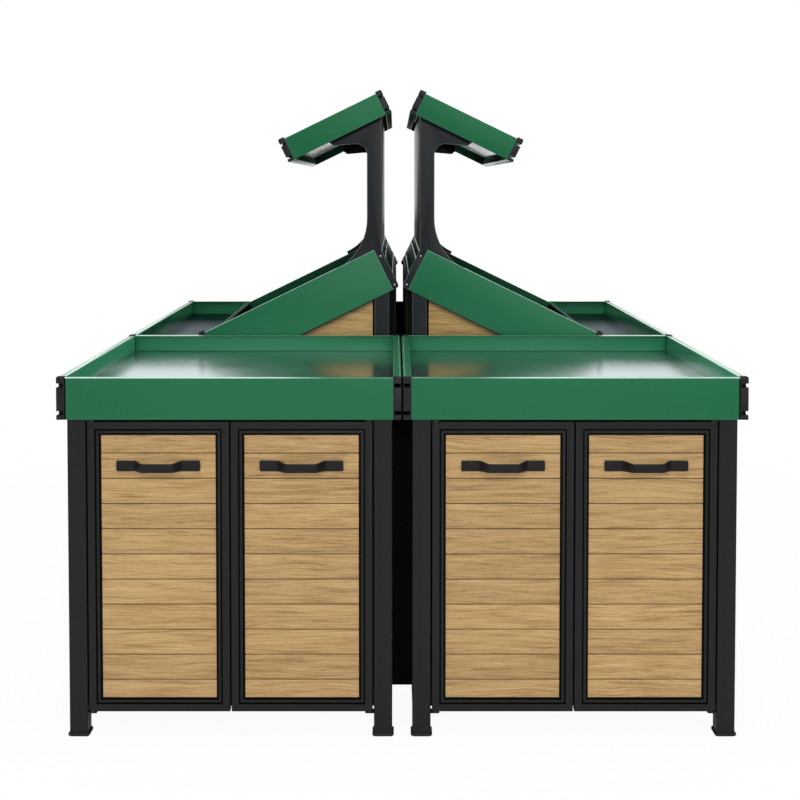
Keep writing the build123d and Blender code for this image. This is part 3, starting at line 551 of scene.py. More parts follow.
board_tree, given, taken = group(
    "GeometryNodeTree",
    "board_stack",
    {
        "Start": ("Geometry", None),
        "Boards": ("Int", BOARD_COUNT),
        "Pitch": ("Float", BOARD_PITCH),
        "Gap": ("Float", BOARD_GAP),
        "Length": ("Float", BOARD_LENGTH),
        "Thickness": ("Float", BOARD_THICK),
        "Round": ("Float", BOARD_ROUND),
        "Place": ("Vector", (0, 0, 0)),
        "Turn": ("Vector", (0, 0, 0)),
        "Seed": ("Int", 1),
        "Material": ("Material", None),
    },
    {"Boards": "Geometry"},
)


def keep(tree, shape, name, value, sort, domain):
    values = {"Geometry": shape, "Name": name, "Value": value}
    settings = {"data_type": sort, "domain": domain}
    return add(tree, "GeometryNodeStoreNamedAttribute", values, **settings).outputs[0]


def recall(tree, name, sort):
    return add(tree, "GeometryNodeInputNamedAttribute", {"Name": name}, data_type=sort).outputs[0]


height = sums(board_tree, "SUBTRACT", given["Pitch"], given["Gap"])
section = {"Width": given["Thickness"], "Height": height}
section = add(board_tree, "GeometryNodeCurvePrimitiveQuadrilateral", section).outputs[0]
eased = {"Curve": section, "Count": BOARD_ROUND_STEPS, "Radius": given["Round"]}
section = add(board_tree, "GeometryNodeFilletCurve", eased, mode="POLY").outputs[0]
half = sums(board_tree, "MULTIPLY", given["Length"], 0.5)
left = on_axis(board_tree, "X", sums(board_tree, "MULTIPLY", half, -1.0))
run = {"Start": left, "End": on_axis(board_tree, "X", half)}
run = add(board_tree, "GeometryNodeCurvePrimitiveLine", run).outputs[0]
board = {"Curve": run, "Profile Curve": section, "Fill Caps": True}
board = add(board_tree, "GeometryNodeCurveToMesh", board).outputs[0]
where = add(board_tree, "GeometryNodeInputPosition").outputs[0]
board = keep(board_tree, board, "grain", where, "FLOAT_VECTOR", "POINT")
first = on_axis(board_tree, "Z", sums(board_tree, "MULTIPLY", given["Pitch"], 0.5))
step = on_axis(board_tree, "Z", given["Pitch"])
line = {"Count": given["Boards"], "Start Location": first, "Offset": step}
line = add(board_tree, "GeometryNodeMeshLine", line, mode="OFFSET").outputs[0]
stack = {"Points": line, "Instance": board}
stack = add(board_tree, "GeometryNodeInstanceOnPoints", stack).outputs[0]
draw = add(board_tree, "FunctionNodeRandomValue", {"Seed": given["Seed"]}, data_type="FLOAT")
stack = keep(board_tree, stack, "board", draw.outputs[1], "FLOAT", "INSTANCE")
stack = add(board_tree, "GeometryNodeRealizeInstances", {"Geometry": stack}).outputs[0]
slid = scaled(board_tree, BOARD_SLIDE, recall(board_tree, "board", "FLOAT"))
slid = vectors(board_tree, "ADD", recall(board_tree, "grain", "FLOAT_VECTOR"), slid)
stack = keep(board_tree, stack, "grain", slid, "FLOAT_VECTOR", "POINT")
seat = {"Geometry": stack, "Translation": given["Place"], "Rotation": given["Turn"]}
stack = add(board_tree, "GeometryNodeTransform", seat).outputs[0]
fill(board_tree, taken, Boards=dressed(board_tree, stack, given["Material"]))


def boards(name, body, node, stacks):
    joined = bmesh.new()
    for place, turn, length, rise, seed in stacks:
        values = {"Pitch": rise / BOARD_COUNT, "Length": length, "Place": place, "Seed": seed}
        values["Turn"] = (0, 0, math.radians(turn))
        values["Material"] = oak
        mesh = grown(name, board_tree, values)
        joined.from_mesh(mesh)
        bpy.data.meshes.remove(mesh)
    mesh = bpy.data.meshes.new(name)
    joined.to_mesh(mesh)
    joined.free()
    mesh.materials.append(oak)
    fitted(name, mesh, body, "oak_board", node)


def stack_in(low, high, seed, face):
    turn = {"front": 0, "back": 180, "right": 90, "left": -90}[face]
    run = 0 if face in ("front", "back") else 1
    rise = high[2] - low[2] + BOARD_GAP
    middle = ((low[0] + high[0]) / 2, (low[1] + high[1]) / 2, low[2] - BOARD_GAP / 2)
    return middle, turn, high[run] - low[run], rise, seed


DOOR_SEED, SIDE_SEED = 11, 31
for seed, door in enumerate(DOORS):
    low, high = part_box(door + "_boards")
    stack = stack_in(low, high, DOOR_SEED + seed, "front")
    boards(door + "_oak", door, door + "_boards", [stack])
for seed, half_name in enumerate(("left", "right")):
    node = "end_cabinet_" + half_name + "_side_boards"
    low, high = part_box(node)
    stack = stack_in(low, high, SIDE_SEED + seed, half_name)
    boards("end_cabinet_" + half_name + "_oak", "rack", node, [stack])

RACK_OAK_X = (0.077, 0.673)
RACK_OAK_Y = (-0.0775, 1.0025)
RACK_SIDE_SEED, RACK_FRONT_SEED, RACK_BACK_SEED = 51, 61, 71
low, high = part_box("rack_panel_boards")
rack_stacks = []
for seed, (side, face) in enumerate(((-1, "left"), (1, "right"))):
    near_x, far_x = sorted((side * RACK_OAK_X[0], side * RACK_OAK_X[1]))
    out_x = sorted((side * high[0], side * (high[0] - BOARD_THICK)))
    side_low = (out_x[0], RACK_OAK_Y[0], low[2])
    side_high = (out_x[1], RACK_OAK_Y[1], high[2])
    rack_stacks.append(stack_in(side_low, side_high, RACK_SIDE_SEED + seed, face))
    end_low = (near_x, low[1], low[2])
    end_high = (far_x, low[1] + BOARD_THICK, high[2])
    rack_stacks.append(stack_in(end_low, end_high, RACK_FRONT_SEED + seed, "front"))
    end_low = (near_x, high[1] - BOARD_THICK, low[2])
    end_high = (far_x, high[1], high[2])
    rack_stacks.append(stack_in(end_low, end_high, RACK_BACK_SEED + seed, "back"))
boards("rack_oak", "rack", "rack_panel_boards", rack_stacks)

# Door handles: a flat steel strap bent out in one smooth sweep to a grip and back to a pad,
# with softened edges and the same black coat. It is screwed on from behind the boards.
HANDLE_PAD = 0.040
HANDLE_SWEEP = 0.023
HANDLE_LENGTH = 0.182
HANDLE_OUT = 0.036
SWEEP_LEAD = 0.1
STRAP = 0.005
PAD_HEIGHT = 0.023
GRIP_HEIGHT = 0.019
STRAP_EDGE = 0.0012
STRAP_EDGE_STEPS = 4
PAD_CORNER = 0.0025
STRAP_STATIONS = 96
EVEN_STATIONS = 0.75
SLOPE_STEP = 0.0004
STRAP_SHARP_ANGLE = 40
STRAP_BLACK = (0.0100, 0.0098, 0.0104)
STRAP_FINISH = (0.38, 0.17)
STRAP_PEEL = (500.0, 0.06, 0.00006)

strap_coat = coated("handle_black_coat", STRAP_BLACK, STRAP_FINISH, STRAP_PEEL)


def smooth(t):
    t = min(max(t, 0.0), 1.0)
    return t * t * (3 - 2 * t)


def strap_point(x):
    from_pad = HANDLE_LENGTH / 2 - HANDLE_PAD - abs(x)
    rise = smooth(from_pad / HANDLE_SWEEP + SWEEP_LEAD)
    out = STRAP / 2 + rise * (HANDLE_OUT - STRAP)
    return out, PAD_HEIGHT + rise * (GRIP_HEIGHT - PAD_HEIGHT)


def strap_ring(x, middle, seat_y, half):
    out, height = strap_point(x)
    ahead, behind = strap_point(x + SLOPE_STEP)[0], strap_point(x - SLOPE_STEP)[0]
    tilt = math.atan((ahead - behind) / (2 * SLOPE_STEP))
    short = max(0.0, PAD_CORNER - (half - abs(x)))
    height -= 2 * (PAD_CORNER - math.sqrt(max(PAD_CORNER**2 - short**2, 0.0)))
    deep, high = STRAP / 2 - STRAP_EDGE, height / 2 - STRAP_EDGE
    quarter = math.radians(90 / (STRAP_EDGE_STEPS - 1))
    ring = []
    for across, up in ((1, 1), (-1, 1), (-1, -1), (1, -1)):
        start = math.atan2(up, across) - math.radians(45)
        for part in range(STRAP_EDGE_STEPS):
            turn = start + quarter * part
            d = across * deep + STRAP_EDGE * math.cos(turn)
            h = up * high + STRAP_EDGE * math.sin(turn)
            point_x = middle[0] + x - d * math.sin(tilt)
            ring.append((point_x, seat_y - out - d * math.cos(tilt), middle[1] + h))
    return ring


for door in DOORS:
    low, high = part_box(door + "_handle")
    middle = ((low[0] + high[0]) / 2, (low[2] + high[2]) / 2)
    half = HANDLE_LENGTH / 2
    strap = bmesh.new()
    rings = []
    for station in range(STRAP_STATIONS + 1):
        swing = math.sin(math.pi * (station / STRAP_STATIONS - 0.5))
        even = 2 * station / STRAP_STATIONS - 1
        x = half * (EVEN_STATIONS * even + (1 - EVEN_STATIONS) * swing)
        rings.append([strap.verts.new(point) for point in strap_ring(x, middle, high[1], half)])
    for one, two in zip(rings, rings[1:]):
        for here in range(len(one)):
            ahead = (here + 1) % len(one)
            strap.faces.new((one[here], one[ahead], two[ahead], two[here]))
    strap.faces.new(reversed(rings[0]))
    strap.faces.new(rings[-1])
    bmesh.ops.recalc_face_normals(strap, faces=strap.faces)
    mesh = bpy.data.meshes.new(door + "_strap_handle")
    strap.to_mesh(mesh)
    strap.free()
    mesh.materials.append(strap_coat)
    mesh.shade_smooth()
    mesh.set_sharp_from_angle(angle=math.radians(STRAP_SHARP_ANGLE))
    fitted(mesh.name, mesh, door, "black_coat", door + "_handle")

# Door hardware: turned steel pins pressed into the door frames run in small plates welded
# to the legs, and a magnetic catch on the top rail holds each door shut.
PIN_STEEL = (0.60, 0.60, 0.61)
PIN_ROUGHNESS = (0.30, 0.05)  # a steel's roughness and how far its lines change it
PIN_LINES = (200.0, 200.0, 2600.0)
PIN_DEPTH = 0.00002
SMEARS_PER_METRE = 3.5
SMEAR_ROUGHNESS = (-0.02, 0.04)
LINE_SHADE = 0.05

worked, given, taken = group(
    "ShaderNodeTree",
    "worked_steel",
    {
        "Colour": ("Color", (*PIN_STEEL, 1)),
        "Roughness": ("Float", PIN_ROUGHNESS[0]),
        "Lines": ("Vector", PIN_LINES),
        "Spread": ("Float", PIN_ROUGHNESS[1]),
    },
    {"Colour": "Color", "Roughness": "Float", "Height": "Float"},
)
spot = object_spot(worked)
drawn_out = vectors(worked, "MULTIPLY", spot, given["Lines"])
lines = noise(worked, drawn_out, 1.0, detail=3.0, Roughness=0.6)
smear = noise(worked, spot, SMEARS_PER_METRE, detail=3.0)
wave = ramp(worked, lines, *NOISE_SPAN, -1.0, 1.0)
worn = sums(worked, "MULTIPLY", wave, given["Spread"])
worn = sums(worked, "ADD", given["Roughness"], worn)
worn = sums(worked, "ADD", worn, ramp(worked, smear, *NOISE_SPAN, *SMEAR_ROUGHNESS))
shade = sums(worked, "ADD", 1.0, sums(worked, "MULTIPLY", wave, LINE_SHADE))
tinted = scaled(worked, given["Colour"], shade)
fill(worked, taken, Colour=tinted, Roughness=worn, Height=lines)


def steel(name, colour, roughness, lines, depth, glance=(1.0, 1.0, 1.0)):
    values = {
        "Colour": (*colour, 1),
        "Roughness": roughness[0],
        "Lines": lines,
        "Spread": roughness[1],
    }
    material, shader = skinned(name, worked, values, depth)
    shader["Metallic"].default_value = 1.0
    shader["Specular Tint"].default_value = (*glance, 1)
    return material


pin_steel = steel("turned_pin_steel", PIN_STEEL, PIN_ROUGHNESS, PIN_LINES, PIN_DEPTH)
finished(pin_steel, *[door + "_pivot_pins" for door in DOORS])
finished(black_coat, "hinge_plates")
finished(black_plastic, "door_catches")

# Flat trays: folded green sheet at the two ends of each tray, slotted green rails down its
# sides with black caps plugged into their ends, and a brushed stainless deck on bearers.
# Light and shade are painted in: eased edges and rims are lighter as painted highlights,
# the rear panels' inner faces are lighter as painted light, the rails' inner walls as a
# painted reflection, and near-black or darker colours are painted shade in the slots and
# cap notches, along the deck joint, on the inner rail tops and on the rack tray's deck.
GREEN = (0.0165, 0.1420, 0.0610)
# Lighter green on eased edges: painted highlight.
GREEN_EDGE_HIGHLIGHT = (0.060, 0.200, 0.115)
# Lighter green on the rear panels' inner faces: painted light.
GREEN_INSIDE_LIT = (0.0210, 0.1800, 0.0800)
# Lighter, glossier green on the rails' inner walls: painted reflection of the bright deck.
GREEN_WALL_REFLECTION = (0.0330, 0.2400, 0.1150)
# Pale green on up-facing rims: painted highlight.
GREEN_RIM_HIGHLIGHT = (0.360, 0.600, 0.480)
# Darker green on the inner rails' tops: painted shade.
INNER_RAIL_SHADED_GREEN = (0.0125, 0.1000, 0.0460)
# Darker green just above the deck: painted shade along the joint.
JOINT_SHADE_GREEN = (0.0095, 0.0820, 0.0360)
# Near-black green on down-facing eased edges: painted shade.
LOWER_EDGE_SHADE = (0.0030, 0.0120, 0.0070)
GREEN_FINISH = (0.34, 0.13)
RAIL_FINISH = (0.18, 0.75)
FLAT_FINISH = (0.50, 0.03)
INSIDE_FINISH = (0.30, 0.20)
WALL_FINISH = (0.20, 0.70)
EDGE_FINISH = (0.26, 0.45)
RIM_FINISH = (0.17, 0.90)
SHEET_PEEL = (380.0, 0.04, 0.00005)
EDGE_PEEL = (380.0, 0.04, 0.00004)
RIM_PEEL = (380.0, 0.04, 0.00003)
RAIL_PEEL = (460.0, 0.03, 0.00003)
FLAT_PEEL = (460.0, 0.03, 0.00004)
INSIDE_PEEL = (420.0, 0.03, 0.00004)
SHEET_EDGE = 0.0009
RAIL_EDGE = 0.0012
CAP_EDGE = 0.0005
FOLD_LIMIT = 20
DECK_STEEL = (0.465, 0.580, 0.600)
DECK_ROUGHNESS = (0.175, 0.04)
BRUSH_LINES = (1300.0, 4.0, 1300.0)
BRUSH_DEPTH = 0.000012
# A much darker copy of the deck steel for the rack tray: painted shade.
RACK_DECK_SHADED_STEEL = (0.080, 0.100, 0.107)
RACK_DECK_SHADED_GLANCE = (0.175, 0.225, 0.245)
RACK_DECK_ROUGHNESS = (0.18, 0.05)
RIM_LEVEL = 0.85
UPRIGHT_LEVEL = 0.9
RIM_TILT = (0.2, 0.6)
LOWER_TILT = (-0.6, -0.2)
RIM_TOP = 0.795
JOIN_Y = -0.1375
JOIN_REACH = 0.06
FRONT_SHEETS_TO = -0.5
SHADED_REAR_RIM = (0.540, 0.550)
SHADED_FRONT_RIM = (0.165, 0.265)
SHEET_EDGE_GLOSS = (0.70, 0.10)
DECK_JOINT_SHADE = (0.7475, 0.7490)
REAR_PANELS_Y = (-0.20, -0.13)
RAIL_FACES_X = (0.002, 0.020, 0.732, 0.750)
SLOT_INSIDE = 0.0008
SLOT_CLEAR = 0.006
SLOT_END_LEVEL = 0.5
OUTER_RAILS_FROM = 0.6
FACING_IN = -0.6
END_TRAY_TO = -0.13
# Near-black blocks deep in the caps' notches: painted shade.
NOTCH_SHADE_X = (0.7351, 0.7446)
NOTCH_SHADE_Z = ((0.7081, 0.7169), (0.7681, 0.7769))
NOTCH_SHADE_Y = (0.0015, 0.042)
# A thin near-black strip on each end-tray cap's front face by the sheet: painted shadow line.
CAP_SHADOW_LINE_X = (0.7292, 0.7325)
CAP_SHADOW_LINE_Z = (0.6990, 0.7882)
CAP_SHADOW_LINE_Y = (-0.0004, 0.0002)

green_coat = coated("green_powder_coat", GREEN, GREEN_FINISH, SHEET_PEEL)
green_rail = coated("green_rail_coat", GREEN, RAIL_FINISH, RAIL_PEEL)
# Darker, matt green for the inner rails' tops, as painted shade.
inner_rail_top = coated("inner_rail_painted_shade", INNER_RAIL_SHADED_GREEN, FLAT_FINISH, FLAT_PEEL)
# Lighter green for the rear panels' inner faces, as painted light.
green_inside = coated("green_rear_panel_painted_light", GREEN_INSIDE_LIT, INSIDE_FINISH, INSIDE_PEEL)
# Lighter green for the end trays' rail inner walls, as painted reflection.
green_wall = coated("green_wall_painted_reflection", GREEN_WALL_REFLECTION, WALL_FINISH, INSIDE_PEEL)
# Eased edges of the rails in a lighter, glossier green, as painted highlight.
green_edge = coated("green_edge_painted_highlight", GREEN_EDGE_HIGHLIGHT, EDGE_FINISH, EDGE_PEEL)
# Eased sheet edges: painted highlight on top and painted shade below, set up in the nodes below.
sheet_edge = coated("green_sheet_edge_painted_light_and_shade", GREEN_EDGE_HIGHLIGHT, WALL_FINISH, EDGE_PEEL)
# Up-facing rim faces in a pale, glossy green, as painted highlight.
green_rim = coated("green_rim_painted_highlight", GREEN_RIM_HIGHLIGHT, RIM_FINISH, RIM_PEEL)
deck_steel = steel("brushed_deck_steel", DECK_STEEL, DECK_ROUGHNESS, BRUSH_LINES, BRUSH_DEPTH)
dim_steel = steel(
    "painted_shade_deck_steel",
    RACK_DECK_SHADED_STEEL,
    RACK_DECK_ROUGHNESS,
    BRUSH_LINES,
    BRUSH_DEPTH,
    RACK_DECK_SHADED_GLANCE,
)


def split(tree, vector):
    return add(tree, "ShaderNodeSeparateXYZ", {0: vector}).outputs


def size_of(tree, value):
    return add(tree, "ShaderNodeMath", {0: value}, operation="ABSOLUTE").outputs[0]


def recolour(material, colour):
    tree = material.node_tree
    tree.links.new(colour, tree.nodes["Group"].inputs["Colour"])


def regloss(material, gloss):
    tree = material.node_tree
    tree.links.new(gloss, tree.nodes["Principled BSDF"].inputs["Specular IOR Level"])


# Painted light and shade on the sheets' eased edges: up-facing rims are painted highlight, except
# near the middle at the front and by the join under the inclined trays, where they stay unlit as
# painted shade with less gloss; down-facing edges are painted shade.
tree = sheet_edge.node_tree
coords = add(tree, "ShaderNodeTexCoord").outputs
upward = split(tree, coords["Normal"])["Z"]
spot = split(tree, coords["Object"])
across = size_of(tree, spot["X"])
join = {0: spot["Y"], 1: JOIN_Y, 2: JOIN_REACH}
at_join = add(tree, "ShaderNodeMath", join, operation="COMPARE").outputs[0]
at_front = sums(tree, "LESS_THAN", spot["Y"], FRONT_SHEETS_TO)
shaded_rear = ramp(tree, across, *SHADED_REAR_RIM, 1.0, 0.0)
shaded_rear = sums(tree, "MULTIPLY", at_join, shaded_rear)
shaded_front = ramp(tree, across, *SHADED_FRONT_RIM, 1.0, 0.0)
shaded_front = sums(tree, "MULTIPLY", at_front, shaded_front)
shaded = sums(tree, "MAXIMUM", shaded_rear, shaded_front)
shaded = sums(tree, "MULTIPLY", shaded, sums(tree, "LESS_THAN", spot["Z"], RIM_TOP))
lit = ramp(tree, upward, *RIM_TILT, 0.0, 1.0)
lit = sums(tree, "SUBTRACT", lit, shaded, use_clamp=True)
low_share = ramp(tree, upward, *LOWER_TILT, 1.0, 0.0)
lower = blend(tree, low_share, (*GREEN_EDGE_HIGHLIGHT, 1), (*LOWER_EDGE_SHADE, 1))
recolour(sheet_edge, blend(tree, lit, lower, (*GREEN_RIM_HIGHLIGHT, 1)))
regloss(sheet_edge, ramp(tree, shaded, 0.0, 1.0, *SHEET_EDGE_GLOSS))
# The rear panels' inner faces and the rails' inner walls turn darker just above the deck: painted
# shade along the joint.
for material, colour in ((green_inside, GREEN_INSIDE_LIT), (green_wall, GREEN_WALL_REFLECTION)):
    tree = material.node_tree
    above = ramp(tree, split(tree, object_spot(tree))["Z"], *DECK_JOINT_SHADE, 0.0, 1.0)
    recolour(material, blend(tree, above, (*JOINT_SHADE_GREEN, 1), (*colour, 1)))


def marked(piece, index, wanted):
    for face in piece.data.polygons:
        if wanted(face):
            face.material_index = index


def painted(piece, material, wanted):
    piece.data.materials.append(material)
    marked(piece, len(piece.data.materials) - 1, wanted)


# Gives eased edges and up-facing rim faces their own materials; the edge ones passed in are
# lighter, as painted highlights, and so are most rim ones.
def lined(piece, edge_material, rim_material, from_x=0.0, under=False):
    def at_rim(face):
        level = abs(face.normal.z) if under else face.normal.z
        return level > RIM_LEVEL and abs(face.center.x) > from_x

    piece.data.materials.append(edge_material)
    piece.modifiers["eased_edges"].material = 1
    painted(piece, rim_material, at_rim)
    return piece


def facing_doors(face):
    return face.normal.y < -UPRIGHT_LEVEL


def on_rear_panel(face):
    return facing_doors(face) and REAR_PANELS_Y[0] < face.center.y < REAR_PANELS_Y[1]


def on_plain_top(face):
    return face.normal.z > RIM_LEVEL and face.material_index == 0


def on_inner_wall(face):
    return face.normal.x * face.center.x < FACING_IN and face.center.y < END_TRAY_TO


def in_slot(face, low, high):
    off = min(abs(abs(face.center.x) - edge) for edge in RAIL_FACES_X)
    between = low[2] + SLOT_CLEAR < face.center.z < high[2] - SLOT_CLEAR
    return off > SLOT_INSIDE and between and abs(face.normal.y) < SLOT_END_LEVEL


# Sheets: edges and rims in the painted light and shade edge material, rear panels' inner faces
# lighter as painted light.
for node in ("end_tray_left_panels", "end_tray_right_panels", "rack_tray_panels"):
    sheet = rounded(node, SHEET_EDGE, green_coat, "green_sheet", FOLD_LIMIT)
    painted(lined(sheet, sheet_edge, sheet_edge), green_inside, on_rear_panel)
# Rails: painted-highlight edges and outer rims, painted reflection on the end trays' inner walls,
# painted shade on inner tops and in the slots.
for node in ("end_tray_left_edge_rails", "end_tray_right_edge_rails", "rack_tray_edge_rails"):
    rail = rounded(node, RAIL_EDGE, green_rail, "green_rail", FOLD_LIMIT)
    lined(rail, green_edge, green_rim, OUTER_RAILS_FROM)
    low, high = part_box(node)
    painted(rail, inner_rail_top, on_plain_top)
    painted(rail, green_wall, on_inner_wall)
    # The rails' slots are near-black as painted shade.
    painted(rail, painted_shade_black, lambda face: in_slot(face, low, high))
for node in ("end_tray_end_caps", "rack_tray_end_caps"):
    caps = rounded(node, CAP_EDGE, black_plastic, "black_plastic", FOLD_LIMIT)
    caps.data.materials.append(painted_shade_black)
    low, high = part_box(node)
    # Near-black blocks in the notches are painted shade; the strip by the sheet is a painted
    # shadow line.
    notch_shade_blocks = []
    for side in (-1, 1):
        x = [side * place for place in NOTCH_SHADE_X]
        for start, inward in ((low[1], 1), (high[1], -1)):
            y = [start + inward * place for place in NOTCH_SHADE_Y]
            notch_shade_blocks.extend((x, y, z) for z in NOTCH_SHADE_Z)
        if node == "end_tray_end_caps":
            lip_y = [low[1] + place for place in CAP_SHADOW_LINE_Y]
            notch_shade_blocks.append(([side * place for place in CAP_SHADOW_LINE_X], lip_y, CAP_SHADOW_LINE_Z))
    edited(caps.data, lambda shell: blocks(shell, notch_shade_blocks, 1))
finished(deck_steel, "end_tray_left_deck", "end_tray_right_deck")
# The rack tray's decks take the darker steel as painted shade.
finished(dim_steel, "rack_tray_decks")

# Side plates: each is cut in one piece from thick steel plate, from the post under the
# inclined tray up to the arm under the top tray, and coated black. Tie bars join the pairs.
# The chamfers are a lighter grey as painted highlight, and the top trays add a painted
# shadow band to the coat just below their sheets.
PLATE_EDGE = 0.0008
PLATE_LIMIT = 30
PLATE_CHAMFER = (0.3, 0.95)
# Lighter grey on the plates' chamfers: painted highlight.
PLATE_EDGE_HIGHLIGHT = (0.085, 0.089, 0.095)
PLATE_RIM_FINISH = (0.34, 0.30)
PLATE_BLACK = (0.0108, 0.0130, 0.0152)

plate_coat = coated("plate_black_coat", PLATE_BLACK, BLACK_FINISH)
plate_rim = coated("plate_edge_painted_highlight", PLATE_EDGE_HIGHLIGHT, PLATE_RIM_FINISH)


def on_chamfer(face):
    return PLATE_CHAMFER[0] < abs(face.normal.y) < PLATE_CHAMFER[1]


for node in ("rack_left_side_plates", "rack_right_side_plates"):
    plate = rounded(node, PLATE_EDGE, plate_coat, "black_coat", PLATE_LIMIT)
    marked(lined(plate, plate_rim, plate_coat), 1, on_chamfer)
finished(plate_coat, "tie_bars")

# Plate bolts: zinc-plated button heads with a round socket, two through the tail of each
# side plate, drawn up against the black coat.
BOLT_RADIUS = 0.0045
BOLT_HEIGHT = 0.0035
BOLT_SIDES = 28
BOLT_STEPS = ((0.36, 1.0), (0.26, 0.95), (0.22, 0.86), (0.16, 0.74), (0.0, 0.72), (-0.5, 0.94))
BOLT_SHOWN = 0.0032
BOLT_SHIFT = 0.0386
BOLT_ZINC = (0.52, 0.52, 0.51)
BOLT_ROUGHNESS = (0.22, 0.04)
BOLT_LINES = (500.0, 500.0, 500.0)
BOLT_DEPTH = 0.00001

zinc = steel("zinc_plated_steel", BOLT_ZINC, BOLT_ROUGHNESS, BOLT_LINES, BOLT_DEPTH)
bolt_tree, given, taken = group(
    "GeometryNodeTree",
    "button_heads",
    {
        "Places": ("Geometry", None),
        "Radius": ("Float", BOLT_RADIUS),
        "Height": ("Float", BOLT_HEIGHT),
        "Material": ("Material", None),
    },
    {"Heads": "Geometry"},
)
disc = {"Vertices": BOLT_SIDES, "Radius": given["Radius"]}
disc = add(bolt_tree, "GeometryNodeMeshCircle", disc, fill_type="NGON").outputs[0]
steps = []
for rise, size in BOLT_STEPS:
    steps.append((sums(bolt_tree, "MULTIPLY", given["Height"], rise), size))
head = swell(bolt_tree, disc, steps)
turn = on_axis(bolt_tree, "X", recall(bolt_tree, "facing", "FLOAT"))
heads = spread(bolt_tree, given["Places"], head, given["Material"], Rotation=turn)
fill(bolt_tree, taken, Heads=heads)

low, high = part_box("plate_bolts")
upper = (high[0] - BOLT_RADIUS, high[2] - BOLT_RADIUS)
lower = (upper[0] - BOLT_SHIFT, low[2] + BOLT_RADIUS)
bolt_places, bolt_facing = [], []
for y, turn in ((low[1] + BOLT_HEIGHT, math.pi / 2), (high[1] - BOLT_HEIGHT, -math.pi / 2)):
    bolt_places += [(side * x, y, z) for side in (-1, 1) for x, z in (upper, lower)]
    bolt_facing += [turn] * 4
head_values = {"Material": zinc, "Radius": BOLT_SHOWN}
heads_mesh = grown("button_head_bolts", bolt_tree, head_values, bolt_places, bolt_facing)
fitted("button_head_bolts", heads_mesh, "rack", "bright_steel", "plate_bolts")

# Inclined trays: green end sheets outside the plates, green slotted rails along both edges,
# a black steel deck between them, and an oak infill closing the gap below each end. The far
# sheets and all the rails are a darker green as painted shade, the rims and the back rails'
# edges are painted highlights, and the infill carries a painted shadow below the sheets and
# near-black eased edges as a painted shadow gap.
# Darker, matt green for the inclined trays' rails: painted shade.
SHADED_GREEN = (0.0100, 0.0720, 0.0350)
# Darker green for the far end sheets: painted shade.
SHADED_SHEET = (0.0115, 0.0740, 0.0380)
# Near-white green on the sheets' top rims: painted highlight.
SLOPE_RIM_HIGHLIGHT = (0.70, 0.92, 0.80)
FAR_SHEETS_FROM = 0.9
SLOPE_MIDDLE = 0.3
SLOPE_ANGLE = 26.0
SLOPE_RAIL_LIMIT = 40
SLOPE_DECK_BLACK = (0.0075, 0.0077, 0.0080)
SLOPE_DECK_FINISH = (0.60, 0.0)
INFILL_TINTS = ((0.89, 0.86, 0.72), (0.68, 0.62, 0.50))
INFILL_GRAIN = (0.85, 0.05, 0.85)
INFILL_GRAIN_START = 3.0
INFILL_GRAIN_SHIFT = 0.31
INFILL_TONE = 0.45
INFILL_EDGE = 0.0026
# Band of painted shadow on the infill just below the inclined sheets.
INFILL_SHADE = (0.0180, 0.0020)
INFILL_DARKEST = 0.12

shaded_oak = oak_finish("darker_oak_painted_shadow", *INFILL_TINTS)
shaded_rail = coated("painted_shade_green_rail", SHADED_GREEN, FLAT_FINISH, FLAT_PEEL)
shaded_sheet = coated("shaded_green_sheet_coat", SHADED_SHEET, FLAT_FINISH, FLAT_PEEL)
slope_rim = coated("slope_rim_painted_highlight", SLOPE_RIM_HIGHLIGHT, RIM_FINISH, RIM_PEEL)
slope_deck_coat = coated("flat_deck_black_coat", SLOPE_DECK_BLACK, SLOPE_DECK_FINISH)


def on_far_sheet(face):
    return facing_doors(face) and face.center.y > FAR_SHEETS_FROM


# Far end sheets in the darker green as painted shade; top rims as painted highlight.
slope_sheets = rounded("slope_tray_panels", SHEET_EDGE, green_coat, "green_sheet", FOLD_LIMIT)
painted(lined(slope_sheets, sheet_edge, slope_rim), shaded_sheet, on_far_sheet)


def slope_rails(name, wanted):
    rails = "slope_tray_edge_rails"
    piece = rounded(rails, RAIL_EDGE, shaded_rail, "green_rail", SLOPE_RAIL_LIMIT)

    def trimmed(shell):
        spare = [face for face in shell.faces if not wanted(face.calc_center_median())]
        bmesh.ops.delete(shell, geom=spare, context="FACES")

    edited(piece.data, trimmed)
    piece.name = piece.data.name = name
    return piece


# The back rails' eased edges and tops are lighter as painted highlights.
back_rails = slope_rails("slope_back_rails", lambda place: abs(place.x) < SLOPE_MIDDLE)
lined(back_rails, green_rim, green_edge)
slope_rails("slope_front_rails", lambda place: abs(place.x) > SLOPE_MIDDLE)
finished(slope_deck_coat, "slope_tray_decks")


# Paints a shadow band on a material just below the lower edge of the given sheets.
def shaded_below(material, sheets, band, darkest):
    fall = math.tan(math.radians(SLOPE_ANGLE))
    foot = min(point.co.z + abs(point.co.x) * fall for point in sheets.data.vertices)
    tree = material.node_tree
    spot = split(tree, object_spot(tree))
    reach = sums(tree, "MULTIPLY", size_of(tree, spot["X"]), fall)
    reach = sums(tree, "ADD", reach, spot["Z"])
    shadow = ramp(tree, reach, foot - band[0], foot - band[1], 1.0, darkest)
    dimmed = scaled(tree, tree.nodes["Group"].outputs["Colour"], shadow)
    tree.links.new(dimmed, tree.nodes["Principled BSDF"].inputs["Base Color"])
    return shadow


# The infill's oak gets that painted shadow below the inclined sheets.
shaded_below(shaded_oak, slope_sheets, INFILL_SHADE, INFILL_DARKEST)
